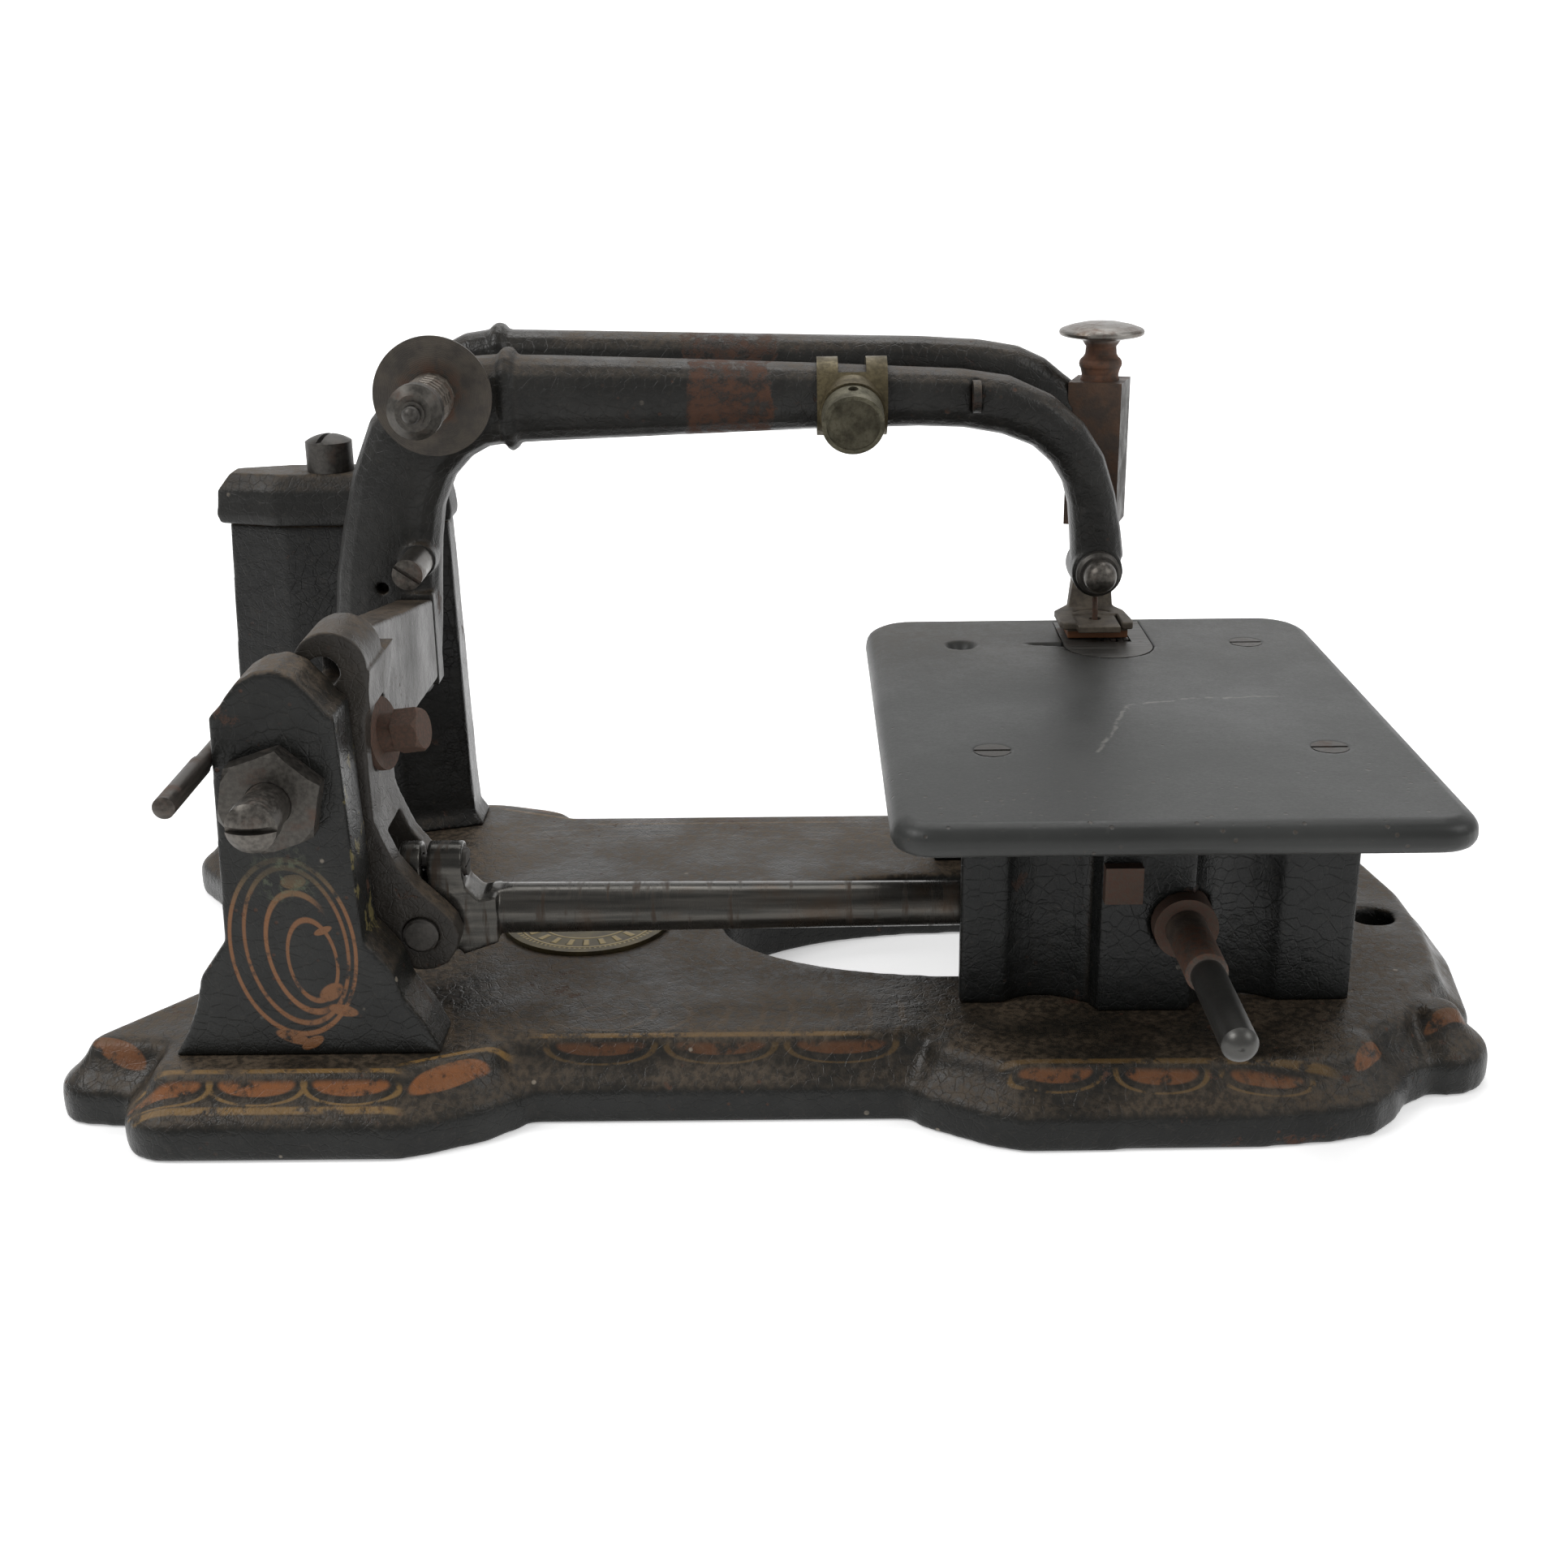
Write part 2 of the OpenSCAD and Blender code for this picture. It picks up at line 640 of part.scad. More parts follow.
module thread_cup_band() {
    color(BRASS) seat() cup_frame() difference() {
        union() {
            rotate([0, 90, 0]) translate([0, 0, -9]) cylinder(h = 18, r = 10);
            translate([0, 0, 6]) cylinder(h = 5, r = 8.4);
        }
        rotate([0, 90, 0]) translate([0, 0, -10]) cylinder(h = 20, r = 9.2);
        translate([-3.6, -12, -12]) cube([7.2, 30, 17]);
        translate([-12, -5, -14]) cube([24, 10, 12]);
        translate([0, 0, 9]) cylinder(h = 5, r = 7.02);
    }
}

module thread_cup() {
    color(BRASS) seat() cup_frame() difference() {
        translate([0, 0, 9.6]) cylinder(h = 7.2, r = 7);
        translate([0, 0, 10.6]) cylinder(h = 8, r = 6.2);
    }
}

module thread_cup_cap() {
    color(BRASS) seat() cup_frame() difference() {
        translate([0, 0, 11.4]) cylinder(h = 6.6, r = 7.9);
        translate([0, 0, 10]) cylinder(h = 6.9, r = 7.02);
        translate([0, 0, 17.6]) cylinder(h = 1, r = 6.8);
        translate([0, 0, 13.4]) rotate([-90, 0, 0]) cylinder(h = 12, r = 1.3);
    }
}

module tension_stud() {
    color(STEEL) seat() {
        rod_y(stud_at, 6, needle_y - 2.2, 2.15);
        translate([stud_at[0], 6, stud_at[1]]) rotate([90, 0, 0]) dome(2.15, 1.4);
    }
}

module tension_discs() {
    color(STEEL) seat() difference() {
        union() {
            rod_y(stud_at, 36.8, 37.6, disc_r - 0.6);
            rod_y(stud_at, 35.6, 36.5, disc_r);
        }
        rod_y(stud_at, 30, 40, 2.25);
    }
}

module tension_spring() {
    color(STEEL) seat() translate([stud_at[0], 35.3, stud_at[1]]) rotate([90, 0, 0])
        coil(5.3, 0.9, 6, 20.8);
}

module tension_nut() {
    color(STEEL) seat() difference() {
        union() {
            rod_y(stud_at, 11, 14.2, 6.7);
            cone_y(stud_at, 9, 11, 4.4, 6.7);
            rod_y(stud_at, 7.4, 9, 3);
        }
        rod_y(stud_at, 5, 15, 2.15 + run_gap);
    }
}

// Square tube section, turned on the presser bar's axis
module tube_prism(side, z0, z1) {
    translate([presser_x, presser_y, z0]) rotate([0, 0, tube_turn])
        translate([-side / 2, -side / 2, 0]) cube([side, side, z1 - z0]);
}

module presser_arm() {
    color(JAPAN) seat() difference() {
        union() {
            loft([
                at_height(octagon(-153, -89.6, 64, 86, 16.6, 5.2), 106),
                at_height(octagon(-153.6, -89.2, 63.6, 86.4, 16.8, 5.4), 108.6),
                at_height(octagon(-152.8, -90, 64.6, 85.4, 16.2, 5), 115.2),
                at_height(octagon(-149.4, -93.4, 67.3, 82.7, 14.4, 4), 119.6)
            ]);
            loft([for (s = presser_arm_sections) arm_ring(s, presser_y + 1)]);
        }
        tube_prism(tube_side, 100, 146);
        block([presser_x, 120], [50, 90], [100, 160]);
        translate([-122.3, 74, 100]) cylinder(h = 30, r = 4);
    }
}

module cap_screw() {
    color(STEEL) seat() translate([-122.3, 74, 0]) difference() {
        union() {
            translate([0, 0, 92]) cylinder(h = 27.6, r = 3.95);
            translate([0, 0, 119.6]) cylinder(h = 8, r = 6.3);
            translate([0, 0, 127.6]) dome(6.3, 2);
        }
        rotate([0, 0, 75]) translate([-8, -0.7, 127.8]) cube([16, 1.4, 3]);
    }
}

spring_bore_r = 5.2;

module presser_tube() {
    color(RUST) seat() difference() {
        tube_prism(tube_side, tube_z[0], tube_z[1]);
        translate([presser_x, presser_y, 100]) cylinder(h = 50, r = bar_r + run_gap);
        translate([presser_x, presser_y, 112]) cylinder(h = 40, r = spring_bore_r);
    }
}

module presser_bar() {
    color(STEEL) seat() translate([presser_x, presser_y, 0]) {
        translate([0, 0, 86]) cylinder(h = 32, r = bar_r);
        translate([0, 0, 112.4]) cylinder(h = 3, r = 4.9);
    }
}

foot_x = needle_x + 0.3;
foot_sole_z = plate_top + free_gap;
foot_top_z = foot_sole_z + 4.9;

module presser_foot() {
    color(DUSTY) seat() difference() {
        union() {
            block([foot_x - 8, foot_x + 8], [46, 62], [foot_sole_z, foot_top_z - 1.9]);
            translate([0, 0, foot_top_z - 1.9]) linear_extrude(height = 1.9) foot_outline();
            block([foot_x - 5.8, foot_x + 5.3], [41, 54], [foot_top_z - 2.1, foot_top_z - 0.4]);
            hull() {
                block([foot_x - 6, foot_x + 6], [60.5, 64], [foot_top_z - 1, foot_top_z]);
                block([presser_x - 4.6, presser_x + 4.6], [70, 76.2], [91, 92]);
            }
            translate([presser_x, presser_y, 88]) cylinder(h = 9.6, r = 5.6);
        }
        translate([needle_x, needle_y, 70]) cylinder(h = 20, r = 1.6);
        translate([0, 0, foot_top_z - 1]) linear_extrude(height = 3) foot_crescent();
        translate([presser_x, presser_y, 85]) cylinder(h = 20, r = bar_r);
    }
}

// Plan of the foot's upper frame: two toes that embrace the middle block
module foot_outline() {
    polygon([
        [foot_x - 10.3, 57], [foot_x - 10.1, 46], [foot_x - 9.2, 43.6], [foot_x - 5.8, 43.6],
        [foot_x - 5.8, 53], [foot_x + 6, 53], [foot_x + 6, 43.6], [foot_x + 8.8, 43.6],
        [foot_x + 9.3, 46], [foot_x + 8.4, 57], [foot_x + 6, 63], [foot_x - 6.5, 63]
    ]);
}

// Crescent-shaped recess behind the needle hole
module foot_crescent() {
    difference() {
        translate([foot_x - 0.5, 54.6]) circle(r = 5);
        translate([foot_x - 0.5, 51.4]) circle(r = 6);
    }
}

module presser_spring() {
    color(STEEL) seat() translate([presser_x, presser_y, 115.6]) coil(4.25, 0.6, 5, 15);
}

module spring_washer() {
    color(STEEL) seat() translate([presser_x, presser_y, 130.9]) cylinder(h = 1.2, r = 4.9);
}

module thumb_screw() {
    color(RUST) seat() translate([presser_x, presser_y, 0]) {
        translate([0, 0, 132.5]) cylinder(h = 10, r = spring_bore_r - run_gap);
        translate([0, 0, 142.4]) rotate_extrude() polygon(concat(
            [[0, 0], [4.9, 0], [4.9, 1.2]], arc([3.8, 3.9], 1.9, -40, 60, 5),
            [[4.2, 6.4], [4, 8.4], [5.2, 10.2], [thumb_r - 1.2, 11.2]],
            arc([thumb_r - 0.9, 12.2], 0.9, -60, 70, 4), [[thumb_r - 3, 13.9], [5, 14.6], [0, 14.8]]
        ));
    }
}

rod_end_r = 10;
strap_y = [-46, -37.4];

module connecting_rod() {
    color(DUSTY) seat() difference() {
        union() {
            rod_y(link, -50.9, -38, rod_end_r - 0.4);
            rod_x(-45.4, 51.6, link[0] - 5.6, link[0] + 8.6, 5.2);
            slab_y(-50.6, -40.2) polygon([
                [link[0] - 5.6, 46], [link[0] - 5.6, 51.6], [link[0] + 8.6, 51.6], [link[0] + 9.2, 47.5],
                [link[0] + 12, 44.5], [link[0] + 16, 45.2], [link[0] + 16, 33.8], [link[0] + 8, 31]
            ]);
            translate([-66, -43.9, link[1] + 0.3]) rotate([0, 90.4, 0.95])
                cylinder(h = rod_end_x - 16 + 66, r1 = 5.9, r2 = 5);
        }
        rod_y(link, -60, -30, link_r + run_gap);
        block([link[0] - 0.7, link[0] + 0.7], [-60, -30], [link[1], 60]);
        rod_x(-45.4, 52, link[0] - 8, link[0] + 12, 1.7);
        rod_x(-45.4, 52, link[0] + 8.6, link[0] + 15, 3.3);
        rod_y([rod_end_x, shaft_z], -60, -30, 19);
    }
}

module pinch_screw() {
    color(STEEL) seat() difference() {
        union() {
            rod_x(-45.4, 52, link[0] - 5.4, link[0] + 8.6, 1.68);
            rod_x(-45.4, 52, link[0] + 8.6, link[0] + 9.5, 3.2);
        }
        block([link[0] + 9.1, link[0] + 12], [-50, -41], [51.7, 52.3]);
    }
}

eccentric_r = 8;
throw = 3;
strap_r = eccentric_r + throw + 3.8;

module eccentric_strap() {
    at = [rod_end_x, shaft_z];
    color(DUSTY) seat() difference() {
        union() {
            rod_y(at, strap_y[0], strap_y[1], 18.9);
            for (s = [-1, 1]) block([at[0] - 5, at[0] + 5], [strap_y[0], strap_y[1]],
                [at[1] + s * 19 - 2.4, at[1] + s * 19 + 1.6 + s * 0.4]);
        }
        rod_y(at, strap_y[0] - 1, strap_y[1] + 1, strap_r);
        block([at[0] - 0.4, at[0] + 0.4], [-60, -30], [at[1] - 30, at[1] + 30]);
        for (s = [-1, 1]) rod_x(rod_y, at[1] + s * 18.4, at[0] - 8, at[0] + 5, 1.2);
        for (s = [-1, 1]) rod_x(rod_y, at[1] + s * 18.4, at[0] + 5, at[0] + 12, 2.3);
    }
}

module strap_screws() {
    color(STEEL) seat() for (s = [-1, 1]) {
        rod_x(rod_y, shaft_z + s * 18.4, rod_end_x - 6, rod_end_x + 5, 1.18);
        rod_x(rod_y, shaft_z + s * 18.4, rod_end_x + 5, rod_end_x + 6.6, 2.2);
    }
}

module main_shaft() {
    at = [shaft_x, shaft_z];
    color(DUSTY) seat() {
        rod_y(at, -83, 45, shaft_r);
        cone_y(at, -84, -83, shaft_end_r, shaft_r);
        rod_y(at, shaft_tip_y + 2.6, -83.5, shaft_end_r);
        translate([shaft_x, shaft_tip_y + 2.6, shaft_z]) rotate([90, 0, 0]) dome(shaft_end_r, 2.6);
    }
}

module eccentric() {
    color(DUSTY) seat() difference() {
        rod_y([shaft_x, shaft_z + throw], -46.7, -36.7, eccentric_r + 0.2);
        rod_y([shaft_x, shaft_z], -50, -30, shaft_r);
    }
}

module feed_cam() {
    color(STEEL) seat() difference() {
        union() {
            rod_y([shaft_x, shaft_z + 1.5], 2, 8, 9);
            rod_y([shaft_x, shaft_z], 8, 14, 7.2);
        }
        rod_y([shaft_x, shaft_z], 0, 16, shaft_r);
    }
}

module rotary_hook() {
    at = [shaft_x, shaft_z];
    color(STEEL) seat() difference() {
        union() {
            rod_y(at, 42.4, 49, hook_r);
        }
        rod_y(at, 46, 50, hook_r - 2.6);
        rod_y(at, 42, 47, shaft_r);
        translate([shaft_x, 40, shaft_z]) rotate([0, -20, 0]) translate([0, 0, 16]) cube([30, 20, 9]);
    }
}

module bobbin() {
    at = [shaft_x, shaft_z];
    color(STEEL) seat() difference() {
        union() {
            rod_y(at, 49.4, 50, 14.6);
            cone_y(at, 50, 51.6, 14.6, 9);
            cone_y(at, 51.6, 53.2, 9, 14.6);
            rod_y(at, 53.2, 53.8, 14.6);
        }
        rod_y(at, 49, 54, 2.6);
    }
}

module bobbin_ring() {
    at = [shaft_x, shaft_z];
    color(STEEL) seat() {
        difference() {
            union() {
                rod_y(at, 54.2, 56.6, 16.6);
                block([shaft_x - 6, shaft_x + 6], [54.2, 56.6], [bed_h, shaft_z]);
                block([shaft_x - 6, shaft_x + 6], [54.2, 66], [bed_h, bed_h + 2.4]);
            }
            rod_y(at, 54, 57, 10);
        }
        rod_y(at, 46.8, 56.6, 2.5);
        block([shaft_x - 11, shaft_x + 11], [54.6, 56.6], [shaft_z - 1.6, shaft_z + 1.6]);
    }
}

module feed_bar() {
    color(STEEL) seat() difference() {
        union() {
            block([88, 95], [-6, 62], [61.6, 67]);
            block([88, 95], [46, 59.5], [66, plate_top - 3.4]);
            for (x = teeth_x) block([x - 0.65, x + 0.65], [46, 59.5], [72, plate_top]);
            block([88, 95], [-6, -1], [52.6, 62]);
        }
        for (i = [0:8]) block([87, 96], [46.6 + 1.5 * i, 47.4 + 1.5 * i], [plate_top - 0.8, plate_top + 1]);
    }
}

bed_plate();
medallion();
front_standard();
rear_column();
front_pivot_screw();
rear_pivot_screw();
front_lock_nut();
rear_lock_nut();
spool_pin();
shaft_housing();
shaft_bushes();
bearing_clamp();
cloth_plate();
plate_screws();
throat_plate();
rocker();
rocker_bolt();
rocker_washer();
link_pin();
needle_arm();
arm_screw();
needle();
needle_collar();
needle_screw();
thread_guide();
thread_cup_band();
thread_cup();
thread_cup_cap();
tension_stud();
tension_discs();
tension_spring();
tension_nut();
presser_arm();
cap_screw();
presser_tube();
presser_bar();
presser_foot();
presser_spring();
spring_washer();
thumb_screw();
connecting_rod();
pinch_screw();
eccentric_strap();
strap_screws();
main_shaft();
eccentric();
feed_cam();
rotary_hook();
bobbin();
bobbin_ring();
feed_bar();
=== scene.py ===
import bpy
import json
import math
from mathutils import Matrix, Vector

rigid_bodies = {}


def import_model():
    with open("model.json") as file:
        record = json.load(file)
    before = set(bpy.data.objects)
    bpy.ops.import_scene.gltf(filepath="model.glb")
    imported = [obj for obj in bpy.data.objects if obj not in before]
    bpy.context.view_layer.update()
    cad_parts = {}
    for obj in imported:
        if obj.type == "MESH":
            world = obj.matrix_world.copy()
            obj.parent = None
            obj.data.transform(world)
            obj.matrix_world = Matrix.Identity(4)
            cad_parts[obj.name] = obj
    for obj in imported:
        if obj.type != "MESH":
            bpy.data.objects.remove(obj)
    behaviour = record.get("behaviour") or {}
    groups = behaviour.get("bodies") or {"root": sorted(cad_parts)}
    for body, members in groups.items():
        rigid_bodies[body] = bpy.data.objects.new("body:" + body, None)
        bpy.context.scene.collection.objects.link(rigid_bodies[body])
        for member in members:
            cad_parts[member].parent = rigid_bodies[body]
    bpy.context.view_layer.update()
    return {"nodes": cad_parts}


for old in list(bpy.data.objects):
    bpy.data.objects.remove(old, do_unlink=True)

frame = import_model()
NODES = frame["nodes"]
scene = bpy.context.scene

# Shader positions are millimetres in the bed frame of part.scad, whose Y is the row's Y less 11
MM = 1000.0
SHIFT = 11.0


# ---------------------------------------------------------------- node helpers

class Tree:
    """One material, whose node tree is written as nested calls."""

    def __init__(self, name):
        self.mat = bpy.data.materials.new(name)
        self.mat.use_nodes = True
        self.t = self.mat.node_tree
        self.t.nodes.clear()
        out = self.t.nodes.new("ShaderNodeOutputMaterial")
        self.bsdf = self.t.nodes.new("ShaderNodeBsdfPrincipled")
        self.t.links.new(self.bsdf.outputs[0], out.inputs[0])
        self.obj = self.t.nodes.new("ShaderNodeTexCoord").outputs["Object"]
        place = self.t.nodes.new("ShaderNodeSeparateXYZ")
        self.t.links.new(self.obj, place.inputs[0])
        self.x = self.mul(place.outputs[0], MM)
        self.y = self.sub(self.mul(place.outputs[1], MM), SHIFT)
        self.z = self.mul(place.outputs[2], MM)
        geo = self.t.nodes.new("ShaderNodeNewGeometry")
        normal = self.t.nodes.new("ShaderNodeSeparateXYZ")
        self.t.links.new(geo.outputs["Normal"], normal.inputs[0])
        self.nx, self.ny, self.nz = normal.outputs
        self.point = geo.outputs["Pointiness"]

    def put(self, socket, value):
        if hasattr(value, "is_output"):
            self.t.links.new(value, socket)
        else:
            socket.default_value = value

    def m(self, op, a, b=0.0):
        n = self.t.nodes.new("ShaderNodeMath")
        n.operation = op
        self.put(n.inputs[0], a)
        self.put(n.inputs[1], b)
        return n.outputs[0]

    def mul(self, *values):
        out = values[0]
        for v in values[1:]:
            out = self.m("MULTIPLY", out, v)
        return out

    def add(self, a, b):
        return self.m("ADD", a, b)

    def sub(self, a, b):
        return self.m("SUBTRACT", a, b)

    def most(self, *values):
        out = values[0]
        for v in values[1:]:
            out = self.m("MAXIMUM", out, v)
        return out

    def ramp(self, v, lo, hi, a=0.0, b=1.0):
        """Smooth step from a, where v is lo, to b, where v is hi."""
        n = self.t.nodes.new("ShaderNodeMapRange")
        n.interpolation_type = "SMOOTHSTEP"
        self.put(n.inputs[0], v)
        for i, k in enumerate((lo, hi, a, b)):
            n.inputs[i + 1].default_value = k
        return n.outputs[0]

    def fall(self, v, lo, hi):
        """Smooth step down from 1 to 0."""
        return self.ramp(v, lo, hi, 1.0, 0.0)

    def band(self, v, centre, half, soft):
        """1 within half of the centre, fading out over soft."""
        return self.fall(self.m("ABSOLUTE", self.sub(v, centre)), half, half + soft)

    def span(self, v, rise, drop):
        """1 between two fades, each given as where it starts and ends."""
        return self.mul(self.ramp(v, *rise), self.fall(v, *drop))

    def moved(self, node, location, scale=(1.0, 1.0, 1.0)):
        mp = self.t.nodes.new("ShaderNodeMapping")
        self.t.links.new(self.obj, mp.inputs[0])
        mp.inputs["Location"].default_value = location
        mp.inputs["Scale"].default_value = scale
        self.t.links.new(mp.outputs[0], node.inputs["Vector"])

    def noise(self, scale, detail, rough, seed=0.0, squash=(1.0, 1.0, 1.0)):
        """Noise whose scale is in features per metre."""
        n = self.t.nodes.new("ShaderNodeTexNoise")
        n.inputs["Scale"].default_value = scale
        n.inputs["Detail"].default_value = detail
        n.inputs["Roughness"].default_value = rough
        self.moved(n, (seed, seed * 0.7, seed * 1.3), squash)
        return n.outputs["Fac"]

    def cells(self, scale, seed, feature="F1"):
        n = self.t.nodes.new("ShaderNodeTexVoronoi")
        n.feature = feature
        n.inputs["Scale"].default_value = scale
        self.moved(n, (seed, seed, seed))
        return n.outputs["Distance"]

    def mix(self, f, a, b):
        """Colour mix; its A, B and result are sockets 6, 7 and 2 of the node."""
        n = self.t.nodes.new("ShaderNodeMix")
        n.data_type = "RGBA"
        self.put(n.inputs[0], f)
        self.put(n.inputs[6], a if hasattr(a, "is_output") else (*a, 1.0))
        self.put(n.inputs[7], b if hasattr(b, "is_output") else (*b, 1.0))
        return n.outputs[2]

    def lerp(self, f, a, b):
        """Number mix; its A and B are sockets 2 and 3 of the node."""
        n = self.t.nodes.new("ShaderNodeMix")
        n.data_type = "FLOAT"
        self.put(n.inputs[0], f)
        self.put(n.inputs[2], a)
        self.put(n.inputs[3], b)
        return n.outputs[0]

    def bump(self, height, distance, strength):
        n = self.t.nodes.new("ShaderNodeBump")
        n.inputs["Strength"].default_value = strength
        n.inputs["Distance"].default_value = distance
        self.t.links.new(height, n.inputs["Height"])
        self.t.links.new(n.outputs[0], self.bsdf.inputs["Normal"])

    def finish(self, color, rough, metal=0.0, spec=0.5):
        self.put(self.bsdf.inputs["Base Color"], color)
        self.put(self.bsdf.inputs["Roughness"], rough)
        self.put(self.bsdf.inputs["Metallic"], metal)
        self.bsdf.inputs["Specular IOR Level"].default_value = spec
        return self.mat


def ellipse(t, u, v, cu, cv, ru, rv, turn=0.0):
    """Normalised distance from an ellipse's centre; 1 on its line."""
    du, dv = t.sub(u, cu), t.sub(v, cv)
    c, s = math.cos(turn), math.sin(turn)
    a = t.add(t.mul(du, c / ru), t.mul(dv, s / ru))
    b = t.sub(t.mul(dv, c / rv), t.mul(du, s / rv))
    return t.m("SQRT", t.add(t.mul(a, a), t.mul(b, b)))


def radius(t, u, v, cu, cv):
    """Distance in millimetres from a centre."""
    return t.m("SQRT", t.add(t.m("POWER", t.sub(u, cu), 2.0), t.m("POWER", t.sub(v, cv), 2.0)))


def shade(tone, k):
    return tuple(k * c for c in tone)


# ---------------------------------------------------------------- colours, linear

BLACK = (0.0072, 0.0074, 0.0067)
ARM_BLACK = (0.0105, 0.0102, 0.0092)
SPECK = (0.04, 0.034, 0.027)
NICK = (0.28, 0.24, 0.19)
DUST = (0.118, 0.085, 0.055)
PLATE_DUST = (0.075, 0.061, 0.044)
RUST = (0.075, 0.034, 0.019)
DARK_RUST = (0.06, 0.03, 0.02)
RIM_RUST = (0.16, 0.055, 0.02)
SOLE_RUST = (0.16, 0.065, 0.026)
STAIN = (0.055, 0.035, 0.024)
# darker colour laid into the hollows of the steel pieces
HOLLOW_DARK = (0.03, 0.024, 0.018)
ORANGE = (0.20, 0.072, 0.022)
DULL_ORANGE = (0.13, 0.05, 0.02)
GOLD = (0.20, 0.115, 0.036)
# painted sheen for the standard's right-facing side
SIDE_SHEEN = (0.17, 0.14, 0.055)
GHOST = (0.10, 0.06, 0.025)
GREEN = (0.085, 0.10, 0.06)
CRACK_PALE = (0.16, 0.155, 0.14)

# noise is sampled this much more slowly along the way a surface was polished, which draws it out
POLISH = 0.06
ALONG = {
    None: (1.0, 1.0, 1.0), "x": (POLISH, 1.0, 1.0), "y": (1.0, POLISH, 1.0), "z": (1.0, 1.0, POLISH),
}


# ---------------------------------------------------------------- base finishes

def japan(name, paint=BLACK, dust=0.75, wear=1.0, deco=None, fine=1.0, rough=0.36, rust_at=None):
    """Old black japan over cast iron: brown dust, crazing, chips and rusty edges."""
    t = Tree(name)
    up = t.ramp(t.nz, 0.25, 0.97)
    cloud = t.noise(38.0, 5.0, 0.6, seed=1.7)
    speck = t.noise(620.0, 3.0, 0.6, seed=4.1)
    grain = t.noise(1700.0, 2.0, 0.5, seed=2.3)
    body = t.mix(t.ramp(t.noise(85.0, 4.0, 0.6, seed=6.0), 0.35, 0.75), paint, shade(paint, 1.75))
    body = t.mix(t.mul(t.ramp(speck, 0.56, 0.72), 0.22), body, SPECK)
    # dust that lies on level faces and in the corners
    lying = t.mul(up, t.ramp(cloud, 0.34, 0.62, 0.22, 1.0), t.ramp(speck, 0.38, 0.62, 0.35, 1.0), dust)
    hollow = t.mul(t.ramp(t.point, 0.5, 0.44), 0.45 * dust)
    dusty = t.most(lying, hollow)
    if deco is not None:
        body = deco(t, body)
    col = t.mix(dusty, body, DUST)
    # rust patches, dots and worn edges
    edge = t.mul(t.ramp(t.point, 0.53, 0.6), t.ramp(t.noise(150.0, 4.0, 0.7, seed=8.0), 0.42, 0.6))
    patch = t.ramp(t.noise(62.0, 6.0, 0.72, seed=9.4), 0.63, 0.69)
    dots = t.mul(t.ramp(t.cells(260.0, 3.0), 0.16, 0.08),
                 t.ramp(t.noise(30.0, 2.0, 0.5, seed=5.2), 0.52, 0.62))
    rusty = t.most(t.mul(edge, 0.65 * wear), t.mul(patch, 0.75 * wear), t.mul(dots, 0.7 * wear))
    if rust_at is not None:
        rusty = t.most(rusty, rust_at(t))
    col = t.mix(rusty, col, t.mix(speck, RUST, DARK_RUST))
    # small pale nicks
    nick = t.mul(t.ramp(t.cells(95.0, 7.7), 0.07, 0.04), t.ramp(cloud, 0.5, 0.6))
    col = t.mix(t.mul(nick, 0.6 * wear), col, NICK)
    r = t.lerp(dusty, rough - 0.06, 0.8)
    r = t.add(r, t.ramp(cloud, 0.3, 0.7, -0.05, 0.12))
    r = t.lerp(rusty, r, 0.8)
    craze = t.ramp(t.cells(330.0 * fine, 1.0, "DISTANCE_TO_EDGE"), 0.0, 0.05, 0.6, 1.0)
    h = t.add(t.mul(t.noise(240.0 * fine, 3.0, 0.5, seed=3.3), 0.9), t.mul(grain, 0.35))
    h = t.add(h, t.mul(craze, 0.35))
    h = t.sub(h, t.mul(rusty, 0.5))
    t.bump(h, 0.0004, 0.8)
    return t.finish(col, r, 0.0, 0.24)


def steel(name, tone, rust, rough, metal, axis=None, rust_tone=RUST):
    """Aged bright steel with brown stains; axis gives the way its polish runs."""
    t = Tree(name)
    streak = t.noise(900.0, 4.0, 0.6, seed=2.2, squash=ALONG[axis])
    cloud = t.noise(110.0, 5.0, 0.65, seed=7.1)
    fine = t.noise(1300.0, 3.0, 0.6, seed=5.5)
    col = t.mix(t.ramp(streak, 0.3, 0.7), shade(tone, 0.62), shade(tone, 1.25))
    stain = t.mul(t.ramp(cloud, 0.62 - 0.4 * rust, 0.78 - 0.35 * rust), min(1.0, 0.45 + rust))
    pit = t.ramp(t.cells(420.0, 1.9), 0.14, 0.07)
    stain = t.most(stain, t.mul(pit, 0.5 * rust))
    col = t.mix(stain, col, t.mix(t.ramp(fine, 0.35, 0.65), rust_tone, STAIN))
    # darker in the hollows, by pointiness
    hollow = t.ramp(t.point, 0.49, 0.42)
    col = t.mix(t.mul(hollow, 0.6), col, HOLLOW_DARK)
    r = t.lerp(stain, t.ramp(streak, 0.3, 0.7, rough - 0.06, rough + 0.1), 0.8)
    t.bump(t.add(t.mul(streak, 0.5), t.mul(fine, stain, 1.2)), 0.00012, 0.6)
    return t.finish(col, r, t.lerp(stain, metal, 0.1))


def brass(name, tone, dirt=0.5, rough=0.4):
    t = Tree(name)
    cloud = t.noise(230.0, 5.0, 0.65, seed=1.0)
    fine = t.noise(1200.0, 3.0, 0.6, seed=2.0)
    col = t.mix(t.ramp(cloud, 0.35, 0.7), tone, shade(tone, 0.5))
    col = t.mix(t.mul(t.ramp(fine, 0.45, 0.65), dirt), col, (0.045, 0.036, 0.02))
    col = t.mix(t.mul(t.ramp(t.point, 0.49, 0.43), 0.8), col, (0.025, 0.02, 0.012))
    t.bump(t.add(cloud, t.mul(fine, 0.6)), 0.00012, 0.6)
    return t.finish(col, t.ramp(cloud, 0.3, 0.7, rough, rough + 0.25), 0.8)


# ---------------------------------------------------------------- painted flourishes

